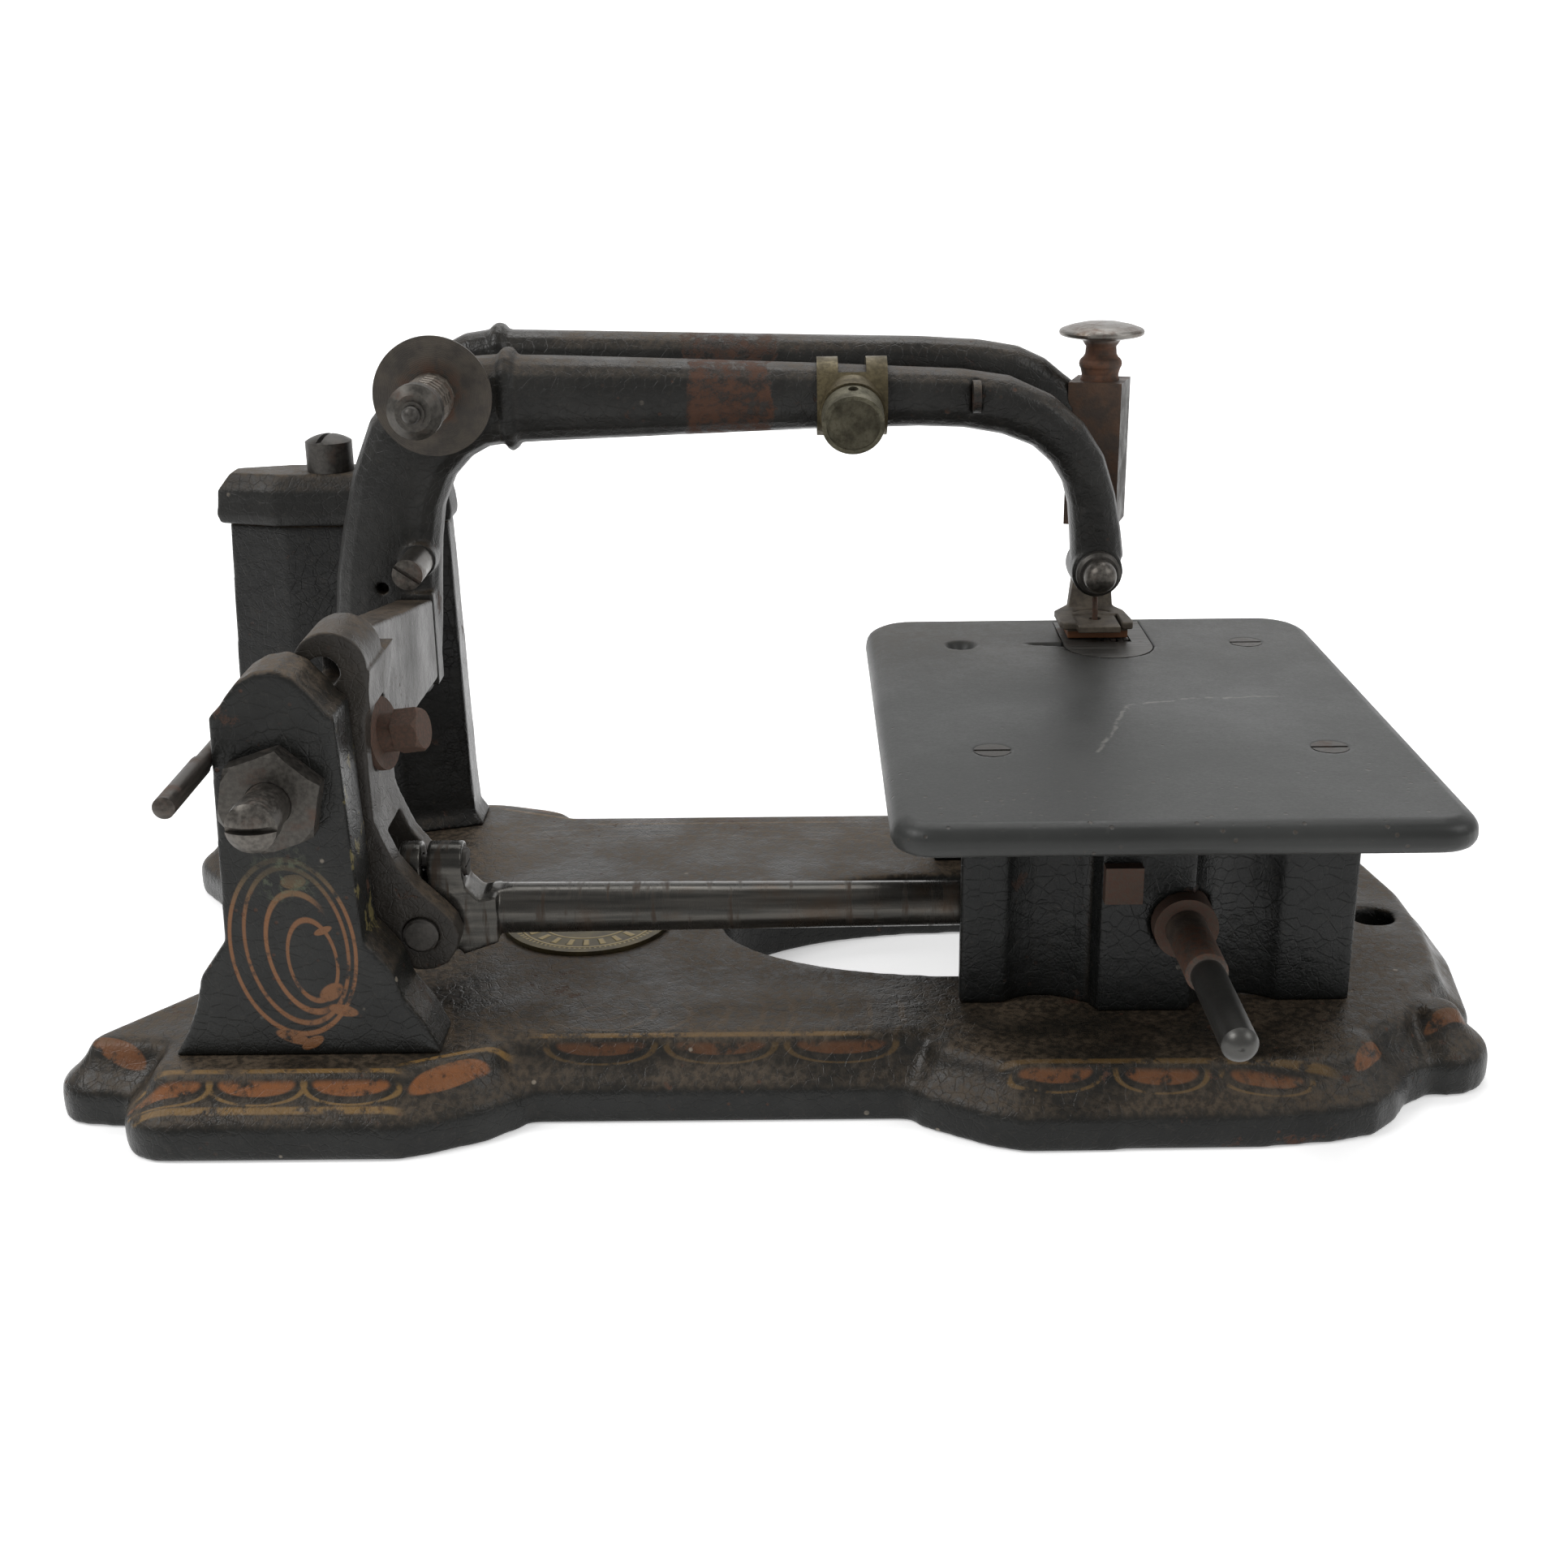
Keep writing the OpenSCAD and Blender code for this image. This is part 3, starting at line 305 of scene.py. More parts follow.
# rows of petals, same in front and behind: first X, pitch, Y, radii in X and Y, strength
PETALS_A_ROW = 3
PETAL_ROWS = (
    (-133.5, 20.5, 83.2, 9.2, 1.55, 1.0),   # the lobe that carries the standard
    (-40.0, 27.0, 67.2, 11.0, 1.3, 0.36),   # the waist
    (60.0, 23.0, 81.4, 8.8, 1.6, 0.6),      # the lobe in front of the cloth plate
)
# single petals on the corners: X, Y, radii, turn, strength
CORNER_PETALS = (
    (-72.0, 78.8, 10.0, 1.7, -0.5, 1.0),
    (-148.0, 67.2, 7.5, 1.8, 0.35, 0.7),
    (130.0, 73.5, 6.5, 1.5, -0.85, 0.7),
    (152.0, 57.5, 6.0, 1.5, -0.35, 0.6),
)
# gold lines along the crest: Y, X where each fades in, X where it fades out, strength
GOLD_LINES = (
    (81.0, (-142.0, -138.0), (-84.0, -80.0), 1.0),
    (86.6, (-142.0, -138.0), (-84.0, -80.0), 0.9),
    (65.4, (-58.0, -52.0), (14.0, 22.0), 0.75),
    (79.6, (46.0, 52.0), (118.0, 124.0), 0.45),
)
LINE_HALF, LINE_SOFT = 0.35, 0.5


def wear_mask(t, lo=0.36, hi=0.52):
    return t.ramp(t.noise(210.0, 5.0, 0.7, seed=11.0), lo, hi)


def bed_deco(t, body):
    """Orange petals between gold lines along the moulded edge, worn in the middle."""
    front = t.m("LESS_THAN", t.y, 0.0)
    ay = t.m("ABSOLUTE", t.y)
    worn = wear_mask(t)
    up = t.ramp(t.nz, 0.2, 0.45)
    petals, lines = [], []
    for x0, pitch, y, rx, ry, strength in PETAL_ROWS:
        for i in range(PETALS_A_ROW):
            x = x0 + pitch * i
            leaf = t.fall(ellipse(t, t.x, ay, x, y, rx, ry), 0.82, 0.97)
            ring = t.band(ellipse(t, t.x, ay, x, y, rx + 1.2, ry + 1.0), 1.0, 0.03, 0.06)
            # only the half towards the bed's edge is painted
            petals.append(t.mul(leaf, t.ramp(t.sub(ay, y), -0.7, 0.2), strength))
            lines.append(t.mul(ring, t.ramp(t.sub(ay, y), -0.7, 0.2), 0.8 * strength))
    for x, y, rx, ry, turn, strength in CORNER_PETALS:
        petals.append(t.mul(t.fall(ellipse(t, t.x, ay, x, y, rx, ry, turn), 0.85, 1.0), strength))
    for y, rise, drop, strength in GOLD_LINES:
        lines.append(t.mul(t.band(ay, y, LINE_HALF, LINE_SOFT), t.span(t.x, rise, drop), strength))
    # the line that runs slantwise from the lobe to the waist
    slant = t.add(t.mul(t.add(t.x, 73.0), 0.42), t.sub(ay, 75.0))
    lines.append(t.mul(t.band(slant, 0.0, 0.4, LINE_SOFT), t.span(t.x, (-84.0, -80.0), (-62.0, -58.0))))
    orange = t.mul(t.most(*petals), t.mul(worn, up))
    gold = t.mul(t.most(*lines), t.mul(t.ramp(t.noise(170.0, 4.0, 0.7, seed=12.5), 0.38, 0.5), up))
    faint = t.lerp(front, 0.6, 1.0)
    # ghost flourishes on the flat between the standard and the window
    waves = t.mul(ellipse(t, t.x, t.y, -40.0, -55.0, 9.0, 5.5), 7.0)
    swirl = t.m("SINE", t.add(waves, t.mul(t.noise(45.0, 2.0, 0.5, seed=3.9), 9.0)))
    ghost = t.mul(t.ramp(swirl, 0.72, 0.95), t.band(ay, 58.0, 6.0, 4.0), 0.35)
    ghost = t.mul(ghost, t.band(t.x, -22.0, 52.0, 12.0), worn)
    col = t.mix(t.mul(ghost, up), body, GHOST)
    paint = t.mix(t.noise(300.0, 3.0, 0.6, seed=2.0), DULL_ORANGE, ORANGE)
    col = t.mix(t.mul(orange, faint), col, paint)
    return t.mix(t.mul(gold, faint, 0.85), col, GOLD)


# the standard's front face: centre of its ovals in X and Z
OVAL_X, OVAL_Z = -104.4, 44.0
# closed ovals: offset in X and Z, radii, turn, half width, softness, strength
OVALS = (
    (0.0, 0.0, 13.4, 20.6, 0.06, 0.018, 0.022, 1.0),
    (0.8, 0.4, 10.9, 18.4, 0.1, 0.02, 0.028, 0.9),
    (4.0, -3.0, 5.2, 9.6, 0.1, 0.045, 0.045, 0.9),
)
# leaf tips: offset in X and Z, radii, turn
LEAVES = (
    (7.4, -10.6, 3.2, 2.0, 0.6), (9.6, -15.0, 3.6, 1.5, -0.25), (-2.0, -21.4, 4.2, 1.6, -0.35),
    (2.2, -22.8, 3.0, 1.4, 0.5), (6.8, 4.0, 2.3, 0.9, 0.4), (1.5, 15.5, 3.0, 1.8, 0.1),
)


def standard_deco(t, body):
    """Ovals, an inner spiral and leaf tips on the standard's flat front face."""
    def oval(dx, dz, rx, rz, turn=0.0):
        return ellipse(t, t.x, t.z, OVAL_X + dx, OVAL_Z + dz, rx, rz, turn)

    face = t.ramp(t.ny, -0.6, -0.9)
    worn = wear_mask(t, 0.3, 0.46)
    painted = []
    for dx, dz, rx, rz, turn, half, soft, strength in OVALS:
        painted.append(t.mul(t.band(oval(dx, dz, rx, rz, turn), 1.0, half, soft), strength))
    # one oval is open towards the needle end
    opened = t.band(oval(2.6, -1.2, 8.0, 14.2, 0.16), 1.0, 0.035, 0.035)
    painted.append(t.mul(opened, t.ramp(t.x, OVAL_X + 8.0, OVAL_X + 4.0)))
    for dx, dz, rx, rz, turn in LEAVES:
        painted.append(t.mul(t.fall(oval(dx, dz, rx, rz, turn), 0.8, 1.0), 0.9))
    mask = t.mul(t.most(*painted), t.mul(worn, face), t.ramp(t.z, 66.0, 56.0, 0.25, 1.0))
    low, high = (0.15, 0.066, 0.027), (0.085, 0.062, 0.032)
    body = t.mix(mask, body, t.mix(t.ramp(t.z, 50.0, 62.0), low, high))
    haze = t.mul(t.ramp(oval(0.0, 17.0, 9.0, 8.0), 1.1, 0.4), face)
    haze = t.mul(haze, t.ramp(t.noise(330.0, 4.0, 0.7, seed=8.8), 0.5, 0.66))
    body = t.mix(t.mul(haze, 0.55), body, GREEN)
    # painted sheen: the standard's right-facing side is made lighter in patches, as the light falls on it
    side = t.mul(t.ramp(t.nx, 0.5, 0.85), t.ramp(t.noise(160.0, 4.0, 0.7, seed=6.6), 0.56, 0.62))
    side = t.mul(side, t.band(t.z, 66.0, 20.0, 10.0))
    return t.mix(t.mul(side, 0.6), body, SIDE_SHEEN)


def rust_band(t, seed, wander, centre, half, soft, above):
    """Ragged band round an arm, above a height; its edges stray over wander mm in all."""
    stray = t.mul(t.sub(t.noise(120.0, 5.0, 0.7, seed=seed), 0.5), wander)
    return t.mul(t.band(t.add(t.x, stray), centre, half, soft), t.ramp(t.z, *above))


def arm_rust(t):
    """Rust band round the straight of the arm and dots where it bends."""
    band = rust_band(t, 1.1, 9.0, -11.5, 10.5, 0.8, (126.0, 130.0))
    band = t.mul(band, t.ramp(t.noise(230.0, 6.0, 0.78, seed=2.6), 0.42, 0.56, 0.12, 0.9))
    dots = t.mul(t.ramp(t.cells(240.0, 2.0), 0.24, 0.14), t.band(t.x, 50.0, 20.0, 10.0))
    dots = t.mul(dots, t.ramp(t.noise(70.0, 3.0, 0.6, seed=4.4), 0.5, 0.6))
    return t.most(band, t.mul(dots, 0.9))


def presser_rust(t):
    """A like band on the presser arm, fainter."""
    band = rust_band(t, 3.1, 10.0, -12.0, 12.0, 1.0, (140.0, 142.0))
    return t.mul(band, t.ramp(t.noise(230.0, 6.0, 0.78, seed=5.6), 0.45, 0.6, 0.05, 0.75))


# ---------------------------------------------------------------- one-off finishes

# corners of the pale crack in the cloth plate, in X and Y
CRACK = ((72.0, -46.0), (84.0, -12.0), (101.0, -7.0), (122.0, -6.0))


def crack_mask(t):
    """A crack of three straight legs, each wandering a little."""
    stray = t.mul(t.sub(t.noise(90.0, 3.0, 0.6, seed=4.0), 0.5), 7.0)
    px, py = t.add(t.x, stray), t.add(t.y, stray)
    legs = []
    for (ax, ay), (bx, by) in zip(CRACK, CRACK[1:]):
        length = math.hypot(bx - ax, by - ay)
        ux, uy = (bx - ax) / length, (by - ay) / length
        dx, dy = t.sub(px, ax), t.sub(py, ay)
        along = t.add(t.mul(dx, ux), t.mul(dy, uy))
        off = t.m("ABSOLUTE", t.sub(t.mul(dx, uy), t.mul(dy, ux)))
        on = t.mul(t.ramp(along, -0.5, 0.5), t.ramp(along, length + 0.5, length - 0.5))
        legs.append(t.mul(t.ramp(off, 0.75, 0.1), on))
    return t.mul(t.most(*legs), t.ramp(t.noise(260.0, 3.0, 0.7, seed=9.0), 0.4, 0.56))


def plate_mat():
    """The cloth plate: satin grey with fine scratches, pits on its edge and a pale crack."""
    t = Tree("plate_satin")
    up = t.ramp(t.nz, 0.6, 0.98)
    cloud = t.noise(26.0, 5.0, 0.6, seed=1.4)
    fine = t.noise(1500.0, 3.0, 0.6, seed=3.1)
    scratch_x = t.noise(420.0, 4.0, 0.65, seed=2.0, squash=(0.05, 1.0, 1.0))
    scratch_y = t.noise(380.0, 4.0, 0.65, seed=5.0, squash=(1.0, 0.06, 1.0))
    dark, light = (0.0165, 0.0175, 0.0165), (0.025, 0.026, 0.0245)
    col = t.mix(t.ramp(cloud, 0.3, 0.7), dark, light)
    col = t.mix(t.mul(t.ramp(scratch_x, 0.62, 0.74), 0.14), col, (0.06, 0.058, 0.052))
    col = t.mix(t.mul(t.ramp(scratch_y, 0.62, 0.74), 0.16), col, (0.058, 0.055, 0.05))
    # dust at the far left, thin elsewhere
    far = t.mul(t.ramp(t.y, -10.0, 60.0), t.ramp(t.x, 110.0, 20.0, 0.25, 1.0))
    dusty = t.mul(far, up, t.ramp(t.noise(300.0, 4.0, 0.65, seed=6.2), 0.35, 0.65, 0.25, 0.75), 0.55)
    col = t.mix(dusty, col, PLATE_DUST)
    col = t.mix(t.mul(crack_mask(t), up, 0.5), col, CRACK_PALE)
    # pits along the front edge and a few elsewhere
    pits = t.mul(t.ramp(t.cells(330.0, 1.2), 0.2, 0.1), t.ramp(t.y, -52.0, -59.0))
    pits = t.mul(pits, t.ramp(t.noise(60.0, 3.0, 0.6, seed=2.8), 0.42, 0.56))
    few = t.mul(t.ramp(t.cells(130.0, 6.0), 0.06, 0.03), t.ramp(cloud, 0.45, 0.55))
    pit = t.most(pits, few)
    col = t.mix(t.mul(pit, 0.55), col, (0.05, 0.038, 0.028))
    rim = t.mul(t.ramp(t.z, 65.9, 65.0), t.ramp(t.noise(130.0, 4.0, 0.7, seed=7.0), 0.48, 0.62))
    col = t.mix(rim, col, RIM_RUST)
    r = t.lerp(dusty, t.ramp(t.add(cloud, t.mul(fine, 0.5)), 0.4, 1.0, 0.34, 0.5), 0.75)
    h = t.add(t.mul(t.noise(300.0, 3.0, 0.5, seed=8.0), 0.5), t.mul(fine, 0.3))
    h = t.sub(h, t.mul(pit, 1.2))
    t.bump(h, 0.00013, 0.6)
    return t.finish(col, r, 0.1, 0.36)


def shaft_mat():
    """Main shaft: brown-grey with a chipped rusty band and a smooth grey free end."""
    t = Tree("shaft_steel")
    fine = t.noise(800.0, 4.0, 0.65, seed=1.0)
    cloud = t.noise(200.0, 5.0, 0.7, seed=2.0)
    tip = t.ramp(t.y, -83.5, -85.0)
    band = t.band(t.y, -76.0, 7.0, 1.5)
    col = t.mix(t.ramp(cloud, 0.35, 0.65), (0.075, 0.055, 0.04), (0.04, 0.03, 0.024))
    col = t.mix(t.mul(band, t.ramp(fine, 0.4, 0.6)), col, (0.085, 0.038, 0.022))
    col = t.mix(tip, col, t.mix(cloud, (0.05, 0.05, 0.048), (0.085, 0.082, 0.076)))
    t.bump(t.mul(t.add(fine, t.mul(cloud, 0.8)), t.lerp(tip, 1.0, 0.15)), 0.00025, 0.8)
    return t.finish(col, t.lerp(tip, 0.72, 0.36), t.lerp(tip, 0.15, 0.8))


def rod_mat():
    """Connecting rod: dark and polished, stained along its length."""
    t = Tree("rod_steel")
    streak = t.noise(520.0, 4.0, 0.6, seed=3.0, squash=(0.05, 1.0, 1.0))
    rings = t.noise(320.0, 4.0, 0.65, seed=4.0, squash=(1.0, 0.15, 0.15))
    cloud = t.noise(60.0, 4.0, 0.6, seed=5.0)
    col = t.mix(t.ramp(streak, 0.3, 0.7), (0.03, 0.029, 0.026), (0.075, 0.07, 0.062))
    col = t.mix(t.mul(t.ramp(rings, 0.56, 0.66), 0.7), col, (0.04, 0.026, 0.017))
    col = t.mix(t.mul(t.ramp(cloud, 0.52, 0.7), 0.6), col, (0.055, 0.034, 0.02))
    t.bump(t.add(streak, t.mul(rings, 0.6)), 0.00012, 0.5)
    return t.finish(col, t.lerp(t.ramp(rings, 0.52, 0.68), 0.27, 0.55), 0.75)


# centre, beads and rays in a full turn, and the radii of their rings in mm
MEDALLION_X, MEDALLION_Y = -49.0, -2.0
BEADS, BEAD_R = 90.0, 18.6
RAYS, RAY_R = 24.0, 14.8


def medallion_mat():
    """Tarnished brass badge: beaded border, rings and rays, no lettering."""
    t = Tree("medallion_brass")
    rad = radius(t, t.x, t.y, MEDALLION_X, MEDALLION_Y)
    ang = t.m("ARCTAN2", t.sub(t.y, MEDALLION_Y), t.sub(t.x, MEDALLION_X))
    cloud = t.noise(200.0, 5.0, 0.65, seed=1.0)
    beads = t.mul(t.ramp(t.m("SINE", t.mul(ang, BEADS)), -0.2, 0.6), t.band(rad, BEAD_R, 0.5, 0.3))
    line = t.most(t.band(rad, 17.4, 0.15, 0.25), t.band(rad, 12.2, 0.15, 0.25), t.band(rad, 5.0, 0.3, 0.3))
    rays = t.mul(t.ramp(t.m("SINE", t.mul(ang, RAYS)), 0.1, 0.7), t.band(rad, RAY_R, 1.4, 0.4))
    raised = t.most(beads, line, rays)
    col = t.mix(t.ramp(cloud, 0.3, 0.7), (0.11, 0.088, 0.04), (0.055, 0.045, 0.026))
    col = t.mix(raised, col, (0.26, 0.2, 0.09))
    t.bump(t.add(raised, t.mul(cloud, 0.2)), 0.0003, 0.8)
    return t.finish(col, 0.45, 0.75)


# centre of the tension discs
DISC_X, DISC_Z = -86.0, 145.0


def disc_mat():
    """Tension disc: turned dark steel, rusty round its middle."""
    t = Tree("disc_steel")
    rad = radius(t, t.x, t.z, DISC_X, DISC_Z)
    cloud = t.noise(180.0, 5.0, 0.65, seed=1.0)
    turned = t.m("SINE", t.mul(rad, 14.0))
    col = t.mix(t.ramp(cloud, 0.35, 0.65), (0.042, 0.037, 0.032), (0.075, 0.064, 0.052))
    middle = t.mul(t.ramp(rad, 11.0, 6.0), t.ramp(cloud, 0.4, 0.6))
    col = t.mix(t.mul(middle, 0.7), col, RUST)
    t.bump(t.add(t.mul(turned, 0.2), t.mul(cloud, 0.6)), 0.00015, 0.5)
    return t.finish(col, t.ramp(cloud, 0.3, 0.7, 0.42, 0.62), 0.6)


def knob_mat():
    """Thumb screw: bright worn head over a rusty stem."""
    t = Tree("knob_steel")
    cloud = t.noise(240.0, 5.0, 0.7, seed=1.0)
    fine = t.noise(1100.0, 3.0, 0.6, seed=2.0)
    head = t.ramp(t.z, 151.5, 153.0)
    stem = t.mix(t.ramp(cloud, 0.35, 0.65), (0.115, 0.05, 0.026), (0.05, 0.03, 0.02))
    top = t.mix(t.ramp(cloud, 0.4, 0.7), (0.19, 0.18, 0.165), (0.09, 0.062, 0.045))
    t.bump(t.add(cloud, t.mul(fine, 0.6)), 0.0002, 0.7)
    return t.finish(t.mix(head, stem, top), t.lerp(head, 0.72, 0.34), t.lerp(head, 0.2, 0.85))


def tube_mat():
    """Square presser tube: one facet rusty brown, the other grey."""
    t = Tree("presser_tube_steel")
    cloud = t.noise(130.0, 5.0, 0.7, seed=1.0)
    fine = t.noise(900.0, 3.0, 0.6, seed=2.0)
    left = t.ramp(t.nx, 0.25, -0.1)
    grey = t.mix(t.ramp(cloud, 0.35, 0.7), (0.045, 0.042, 0.038), (0.028, 0.024, 0.02))
    brown = t.mix(t.ramp(cloud, 0.35, 0.65), (0.085, 0.048, 0.03), (0.045, 0.033, 0.026))
    t.bump(t.add(cloud, t.mul(fine, 0.7)), 0.0002, 0.7)
    return t.finish(t.mix(left, grey, brown), t.ramp(cloud, 0.3, 0.7, 0.42, 0.7), 0.4)


def foot_mat():
    """Presser foot: dusty grey-brown steel above an orange-rust sole."""
    t = Tree("foot_steel")
    cloud = t.noise(260.0, 5.0, 0.7, seed=1.0)
    fine = t.noise(1100.0, 3.0, 0.6, seed=2.0)
    sole = t.ramp(t.z, 79.6, 79.0)
    col = t.mix(t.ramp(cloud, 0.35, 0.65), (0.10, 0.082, 0.06), (0.05, 0.04, 0.03))
    t.bump(t.add(cloud, t.mul(fine, 0.6)), 0.00015, 0.6)
    return t.finish(t.mix(sole, col, SOLE_RUST), 0.6, 0.35)


# ---------------------------------------------------------------- materials of the pieces

MAT = {
    "bed": japan("bed_japan", deco=bed_deco, dust=0.62, rough=0.33),
    "standard": japan("standard_japan", deco=standard_deco, dust=0.6, wear=0.8, rough=0.36),
    "arm": japan("arm_japan", ARM_BLACK, dust=0.4, wear=0.7, fine=1.2, rust_at=arm_rust, rough=0.42),
    "presser": japan("presser_japan", ARM_BLACK, dust=0.5, wear=0.6, rust_at=presser_rust, rough=0.4),
    "rocker": japan("rocker_japan", (0.019, 0.0165, 0.0138), dust=0.7, wear=0.9, rough=0.44),
    "column": japan("column_japan", (0.0065, 0.0065, 0.006), dust=0.75, wear=0.8, rough=0.33),
    "housing": japan("housing_japan", (0.0052, 0.0057, 0.0054), dust=0.55, wear=0.45, rough=0.36),
    "plate": plate_mat(),
    "throat": steel("throat_steel", (0.055, 0.053, 0.048), 0.15, 0.42, 0.5, axis="x"),
    "rod": rod_mat(),
    "strap": steel("strap_steel", (0.07, 0.062, 0.052), 0.5, 0.5, 0.6),
    "shaft": shaft_mat(),
    "nut": steel("nut_steel", (0.062, 0.057, 0.05), 0.2, 0.42, 0.7),
    "screw": steel("screw_steel", (0.095, 0.087, 0.077), 0.18, 0.36, 0.8),
    "dark_screw": steel("dark_screw_steel", (0.05, 0.046, 0.041), 0.12, 0.45, 0.6),
    "pin": steel("pin_steel", (0.06, 0.052, 0.045), 0.3, 0.4, 0.7, axis="y"),
    "rusty": steel("rusty_bolt", (0.075, 0.05, 0.036), 0.95, 0.6, 0.3, rust_tone=(0.085, 0.044, 0.03)),
    "orange": steel("rusty_bush", (0.05, 0.033, 0.024), 1.0, 0.7, 0.2, rust_tone=(0.062, 0.029, 0.018)),
    "disc": disc_mat(),
    "knob": knob_mat(),
    "tube": tube_mat(),
    "foot": foot_mat(),
    "needle": steel("needle_steel", (0.14, 0.12, 0.10), 0.7, 0.4, 0.7, axis="z"),
    "spring": steel("spring_steel", (0.10, 0.085, 0.07), 0.4, 0.4, 0.7),
    "works": steel("works_steel", (0.11, 0.10, 0.088), 0.4, 0.4, 0.75),
    "brass_band": brass("cup_band_brass", (0.115, 0.094, 0.052)),
    "brass_rim": brass("cup_rim_brass", (0.075, 0.058, 0.036), dirt=0.6),
    "brass_cap": brass("cup_face_brass", (0.145, 0.135, 0.095), dirt=0.35, rough=0.5),
    "medallion": medallion_mat(),
}

USE = {
    "bed_plate": "bed", "medallion": "medallion", "front_standard": "standard", "rear_column": "column",
    "front_pivot_screw": "screw", "rear_pivot_screw": "screw",
    "front_lock_nut": "nut", "rear_lock_nut": "nut",
    "spool_pin": "pin", "shaft_housing": "housing", "shaft_bushes": "orange", "bearing_clamp": "orange",
    "cloth_plate": "plate", "plate_screws": "dark_screw", "throat_plate": "throat", "rocker": "rocker",
    "rocker_bolt": "rusty", "rocker_washer": "rusty", "link_pin": "dark_screw", "needle_arm": "arm",
    "arm_screw": "screw", "needle": "needle", "needle_collar": "dark_screw", "needle_screw": "screw",
    "thread_guide": "arm", "thread_cup_band": "brass_band", "thread_cup": "brass_rim",
    "thread_cup_cap": "brass_cap", "tension_stud": "dark_screw", "tension_discs": "disc",
    "tension_spring": "spring", "tension_nut": "nut", "presser_arm": "presser", "cap_screw": "dark_screw",
    "presser_tube": "tube", "presser_bar": "screw", "presser_foot": "foot", "presser_spring": "spring",
    "spring_washer": "rusty", "thumb_screw": "knob", "connecting_rod": "rod", "pinch_screw": "dark_screw",
    "eccentric_strap": "strap", "strap_screws": "dark_screw", "main_shaft": "shaft",
    "eccentric": "works", "feed_cam": "works", "rotary_hook": "works", "bobbin": "works",
    "bobbin_ring": "works", "feed_bar": "works",
}

# voxel size in metres and smoothing steps of the cast pieces
CAST = {
    "bed_plate": (0.0009, 24), "front_standard": (0.0006, 8), "rear_column": (0.0007, 5),
    "needle_arm": (0.00055, 5), "presser_arm": (0.00065, 5), "rocker": (0.0005, 4),
    "shaft_housing": (0.0007, 4), "connecting_rod": (0.0005, 4), "cloth_plate": (0.0007, 3),
    "presser_foot": (0.00025, 2),
}
# worn edges of the machined pieces: width in metres, and the sharpest bend left alone in degrees
EDGE_WIDTH = 0.00022
EDGE_ANGLE = 34


def cast_skin(ob, voxel, turns):
    """Remesh a casting and smooth it, as sand casting and paint leave it."""
    rm = ob.modifiers.new("cast_skin", "REMESH")
    rm.mode = "VOXEL"
    rm.voxel_size = voxel
    rm.use_smooth_shade = True
    sm = ob.modifiers.new("cast_soften", "SMOOTH")
    sm.factor = 0.5
    sm.iterations = turns


def worn_edges(ob):
    """Narrow rounded edges on a machined piece."""
    bv = ob.modifiers.new("worn_edges", "BEVEL")
    bv.width = EDGE_WIDTH
    bv.segments = 2
    bv.limit_method = "ANGLE"
    bv.angle_limit = math.radians(EDGE_ANGLE)
    bv.harden_normals = False
    wn = ob.modifiers.new("even_shade", "WEIGHTED_NORMAL")
    wn.keep_sharp = False


for name, ob in NODES.items():
    mat = MAT[USE[name]]
    slots = ob.data.materials
    for i in range(len(slots)):
        slots[i] = mat
    if len(slots) == 0:
        slots.append(mat)
    if name in CAST:
        cast_skin(ob, *CAST[name])
    else:
        worn_edges(ob)


# ---------------------------------------------------------------- studio

# floor sheet in metres: its side, the Y where it starts and begins to rise, the bend's length and radius
SHEET = 9.0
START = -3.0
RISE_AT = 1.6
BEND = 2.2
BEND_RADIUS = 1.4
# what the lights point at, and the camera that was matched to the photo; in metres and radians
AIM = (0.0, 0.0, 0.05)
CAMERA_AT = (0.005, -0.446, 0.2193)
PITCH, ROLL, YAW = (math.radians(a) for a in (19.943, 0.74, -0.454))


def grid_mesh(name, cols, rows, fn):
    """Smooth mesh of cols by rows faces, with fn(u, v) giving each corner."""
    across = cols + 1
    verts = [fn(i / cols, j / rows) for j in range(rows + 1) for i in range(across)]
    faces = []
    for j in range(rows):
        for i in range(cols):
            k = j * across + i
            faces.append((k, k + 1, k + across + 1, k + across))
    me = bpy.data.meshes.new(name)
    me.from_pydata(verts, [], faces)
    me.shade_smooth()
    ob = bpy.data.objects.new(name, me)
    scene.collection.objects.link(ob)
    return ob


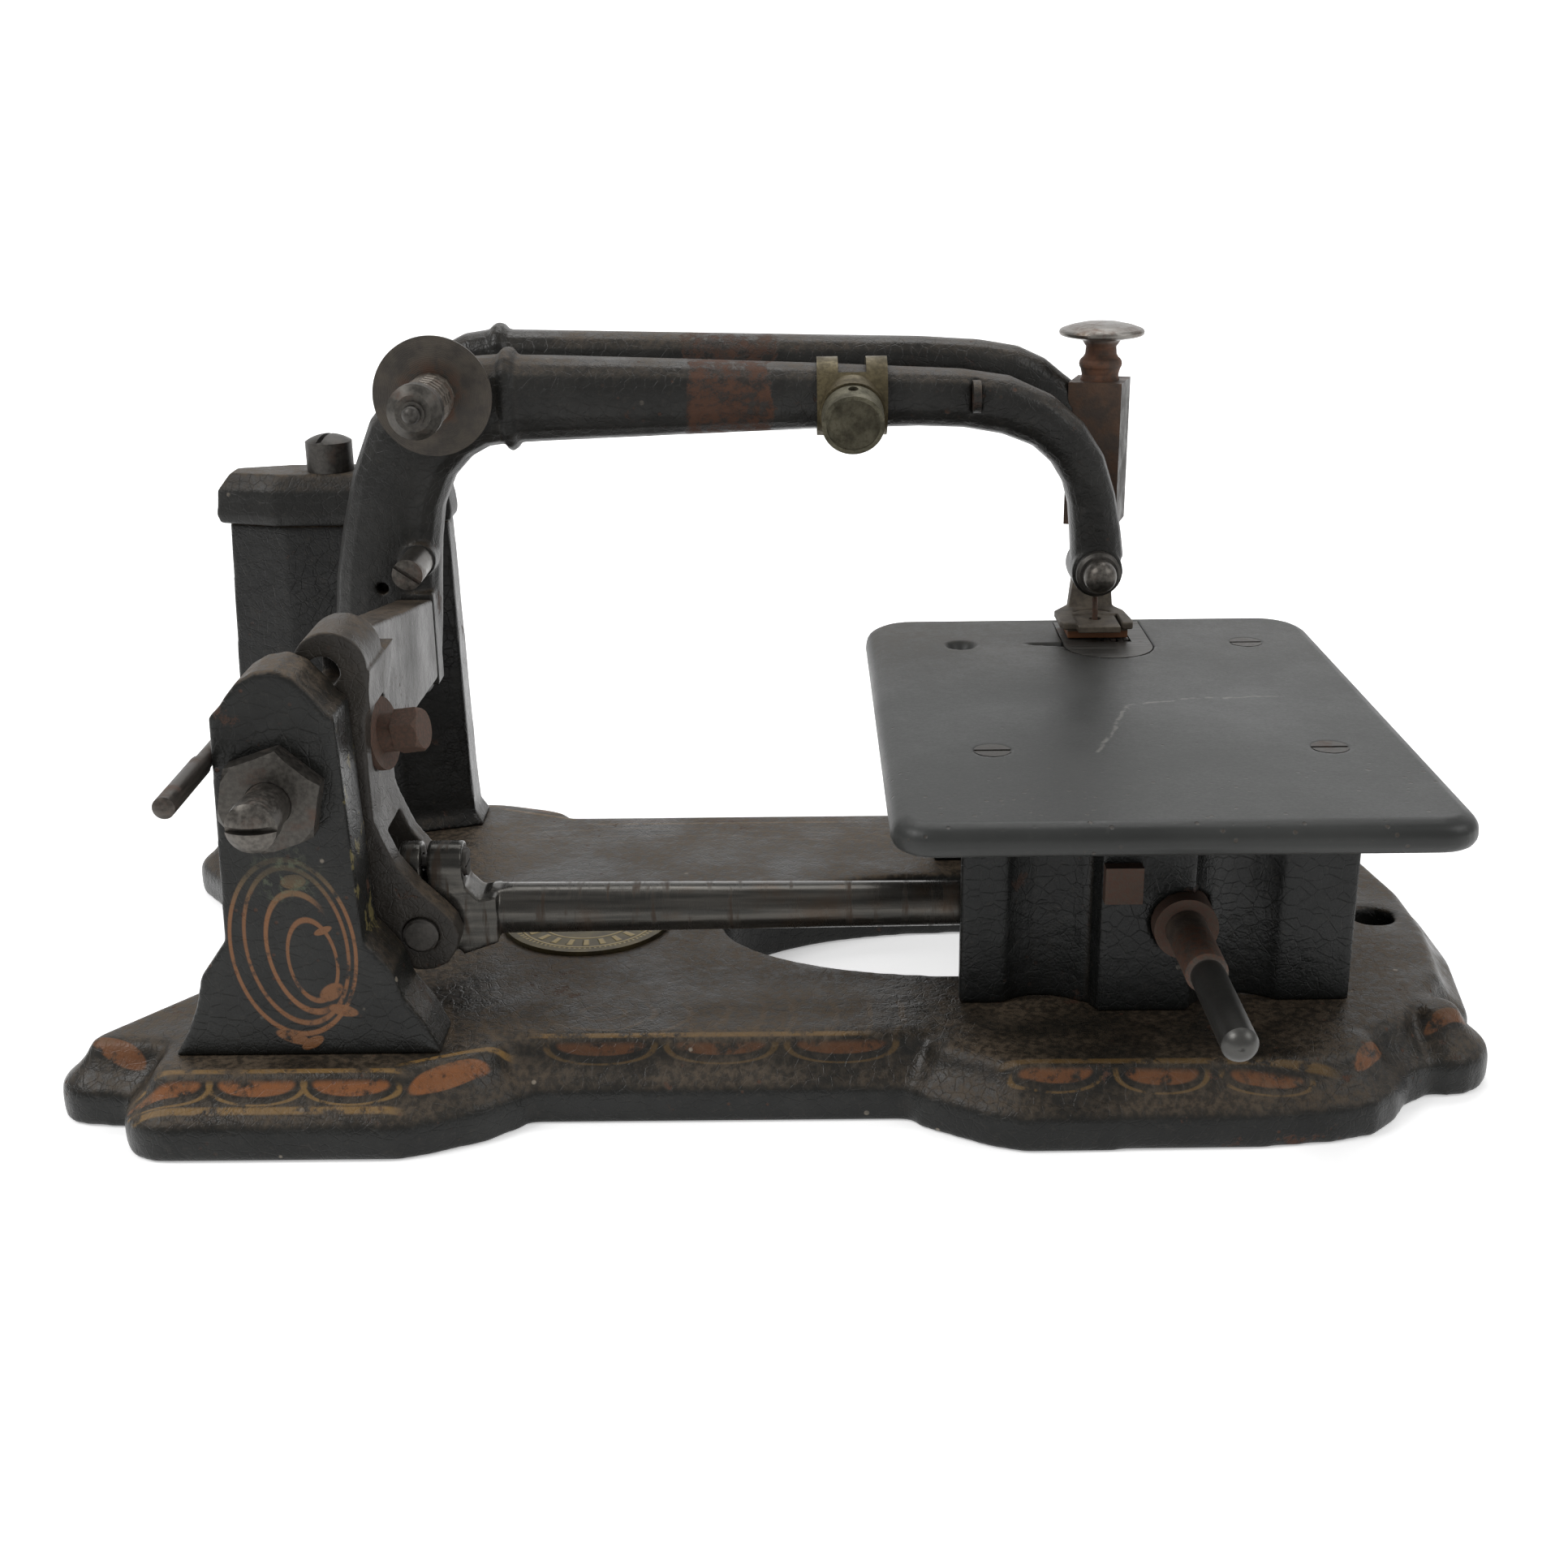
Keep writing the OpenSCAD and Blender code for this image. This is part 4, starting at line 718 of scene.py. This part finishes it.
def sweep(u, v):
    """Floor in front, rising in one smooth curve far behind the object."""
    x = (u - 0.5) * SHEET
    s = v * SHEET + START
    if s < RISE_AT:
        return (x, s, 0.0)
    a = min(1.0, (s - RISE_AT) / BEND) * math.pi / 2
    wall = max(0.0, s - RISE_AT - BEND)
    return (x, RISE_AT + BEND_RADIUS * math.sin(a), BEND_RADIUS * (1 - math.cos(a)) + wall)


floor = grid_mesh("studio_floor", 12, 90, sweep)
ft = Tree("studio_white")
tone = ft.mix(ft.noise(3.0, 2.0, 0.5), (0.93, 0.93, 0.93), (0.95, 0.95, 0.95))
floor.data.materials.append(ft.finish(tone, 0.7, 0.0, 0.2))
ft.bsdf.inputs["Emission Color"].default_value = (1.0, 1.0, 1.0, 1.0)
ft.bsdf.inputs["Emission Strength"].default_value = 0.38

world = bpy.data.worlds.new("studio_world")
world.use_nodes = True
background = world.node_tree.nodes["Background"]
background.inputs["Color"].default_value = (1.0, 1.0, 1.0, 1.0)
background.inputs["Strength"].default_value = 0.5
scene.world = world


def softbox(name, loc, size, power):
    """Rectangular light, aimed low at the middle of the object."""
    ld = bpy.data.lights.new(name, "AREA")
    ld.shape = "RECTANGLE"
    ld.size, ld.size_y = size
    ld.energy = power
    ob = bpy.data.objects.new(name, ld)
    ob.location = loc
    ob.rotation_euler = (Vector(AIM) - Vector(loc)).to_track_quat("-Z", "Y").to_euler()
    scene.collection.objects.link(ob)


softbox("key_left", (-1.2, -0.5, 1.5), (0.8, 0.8), 17)
softbox("fill_right", (1.3, -0.5, 1.2), (0.8, 0.8), 7)
softbox("top_back", (0.1, 0.9, 1.7), (1.3, 0.7), 12)

cam_data = bpy.data.cameras.new("camera")
cam_data.lens = 44.72
cam_data.sensor_width = 36.0
cam_data.clip_start = 0.01
cam = bpy.data.objects.new("camera", cam_data)
fwd = Vector((math.sin(YAW) * math.cos(PITCH), math.cos(YAW) * math.cos(PITCH), -math.sin(PITCH)))
level = Vector((math.cos(YAW), -math.sin(YAW), 0.0))
upright = level.cross(fwd)
side = math.cos(ROLL) * level - math.sin(ROLL) * upright
top = math.sin(ROLL) * level + math.cos(ROLL) * upright
turned = Matrix((side, top, -fwd)).transposed().to_4x4()
cam.matrix_world = Matrix.Translation(CAMERA_AT) @ turned
scene.collection.objects.link(cam)
scene.camera = cam
scene.view_settings.view_transform = "Standard"
scene.view_settings.look = "None"
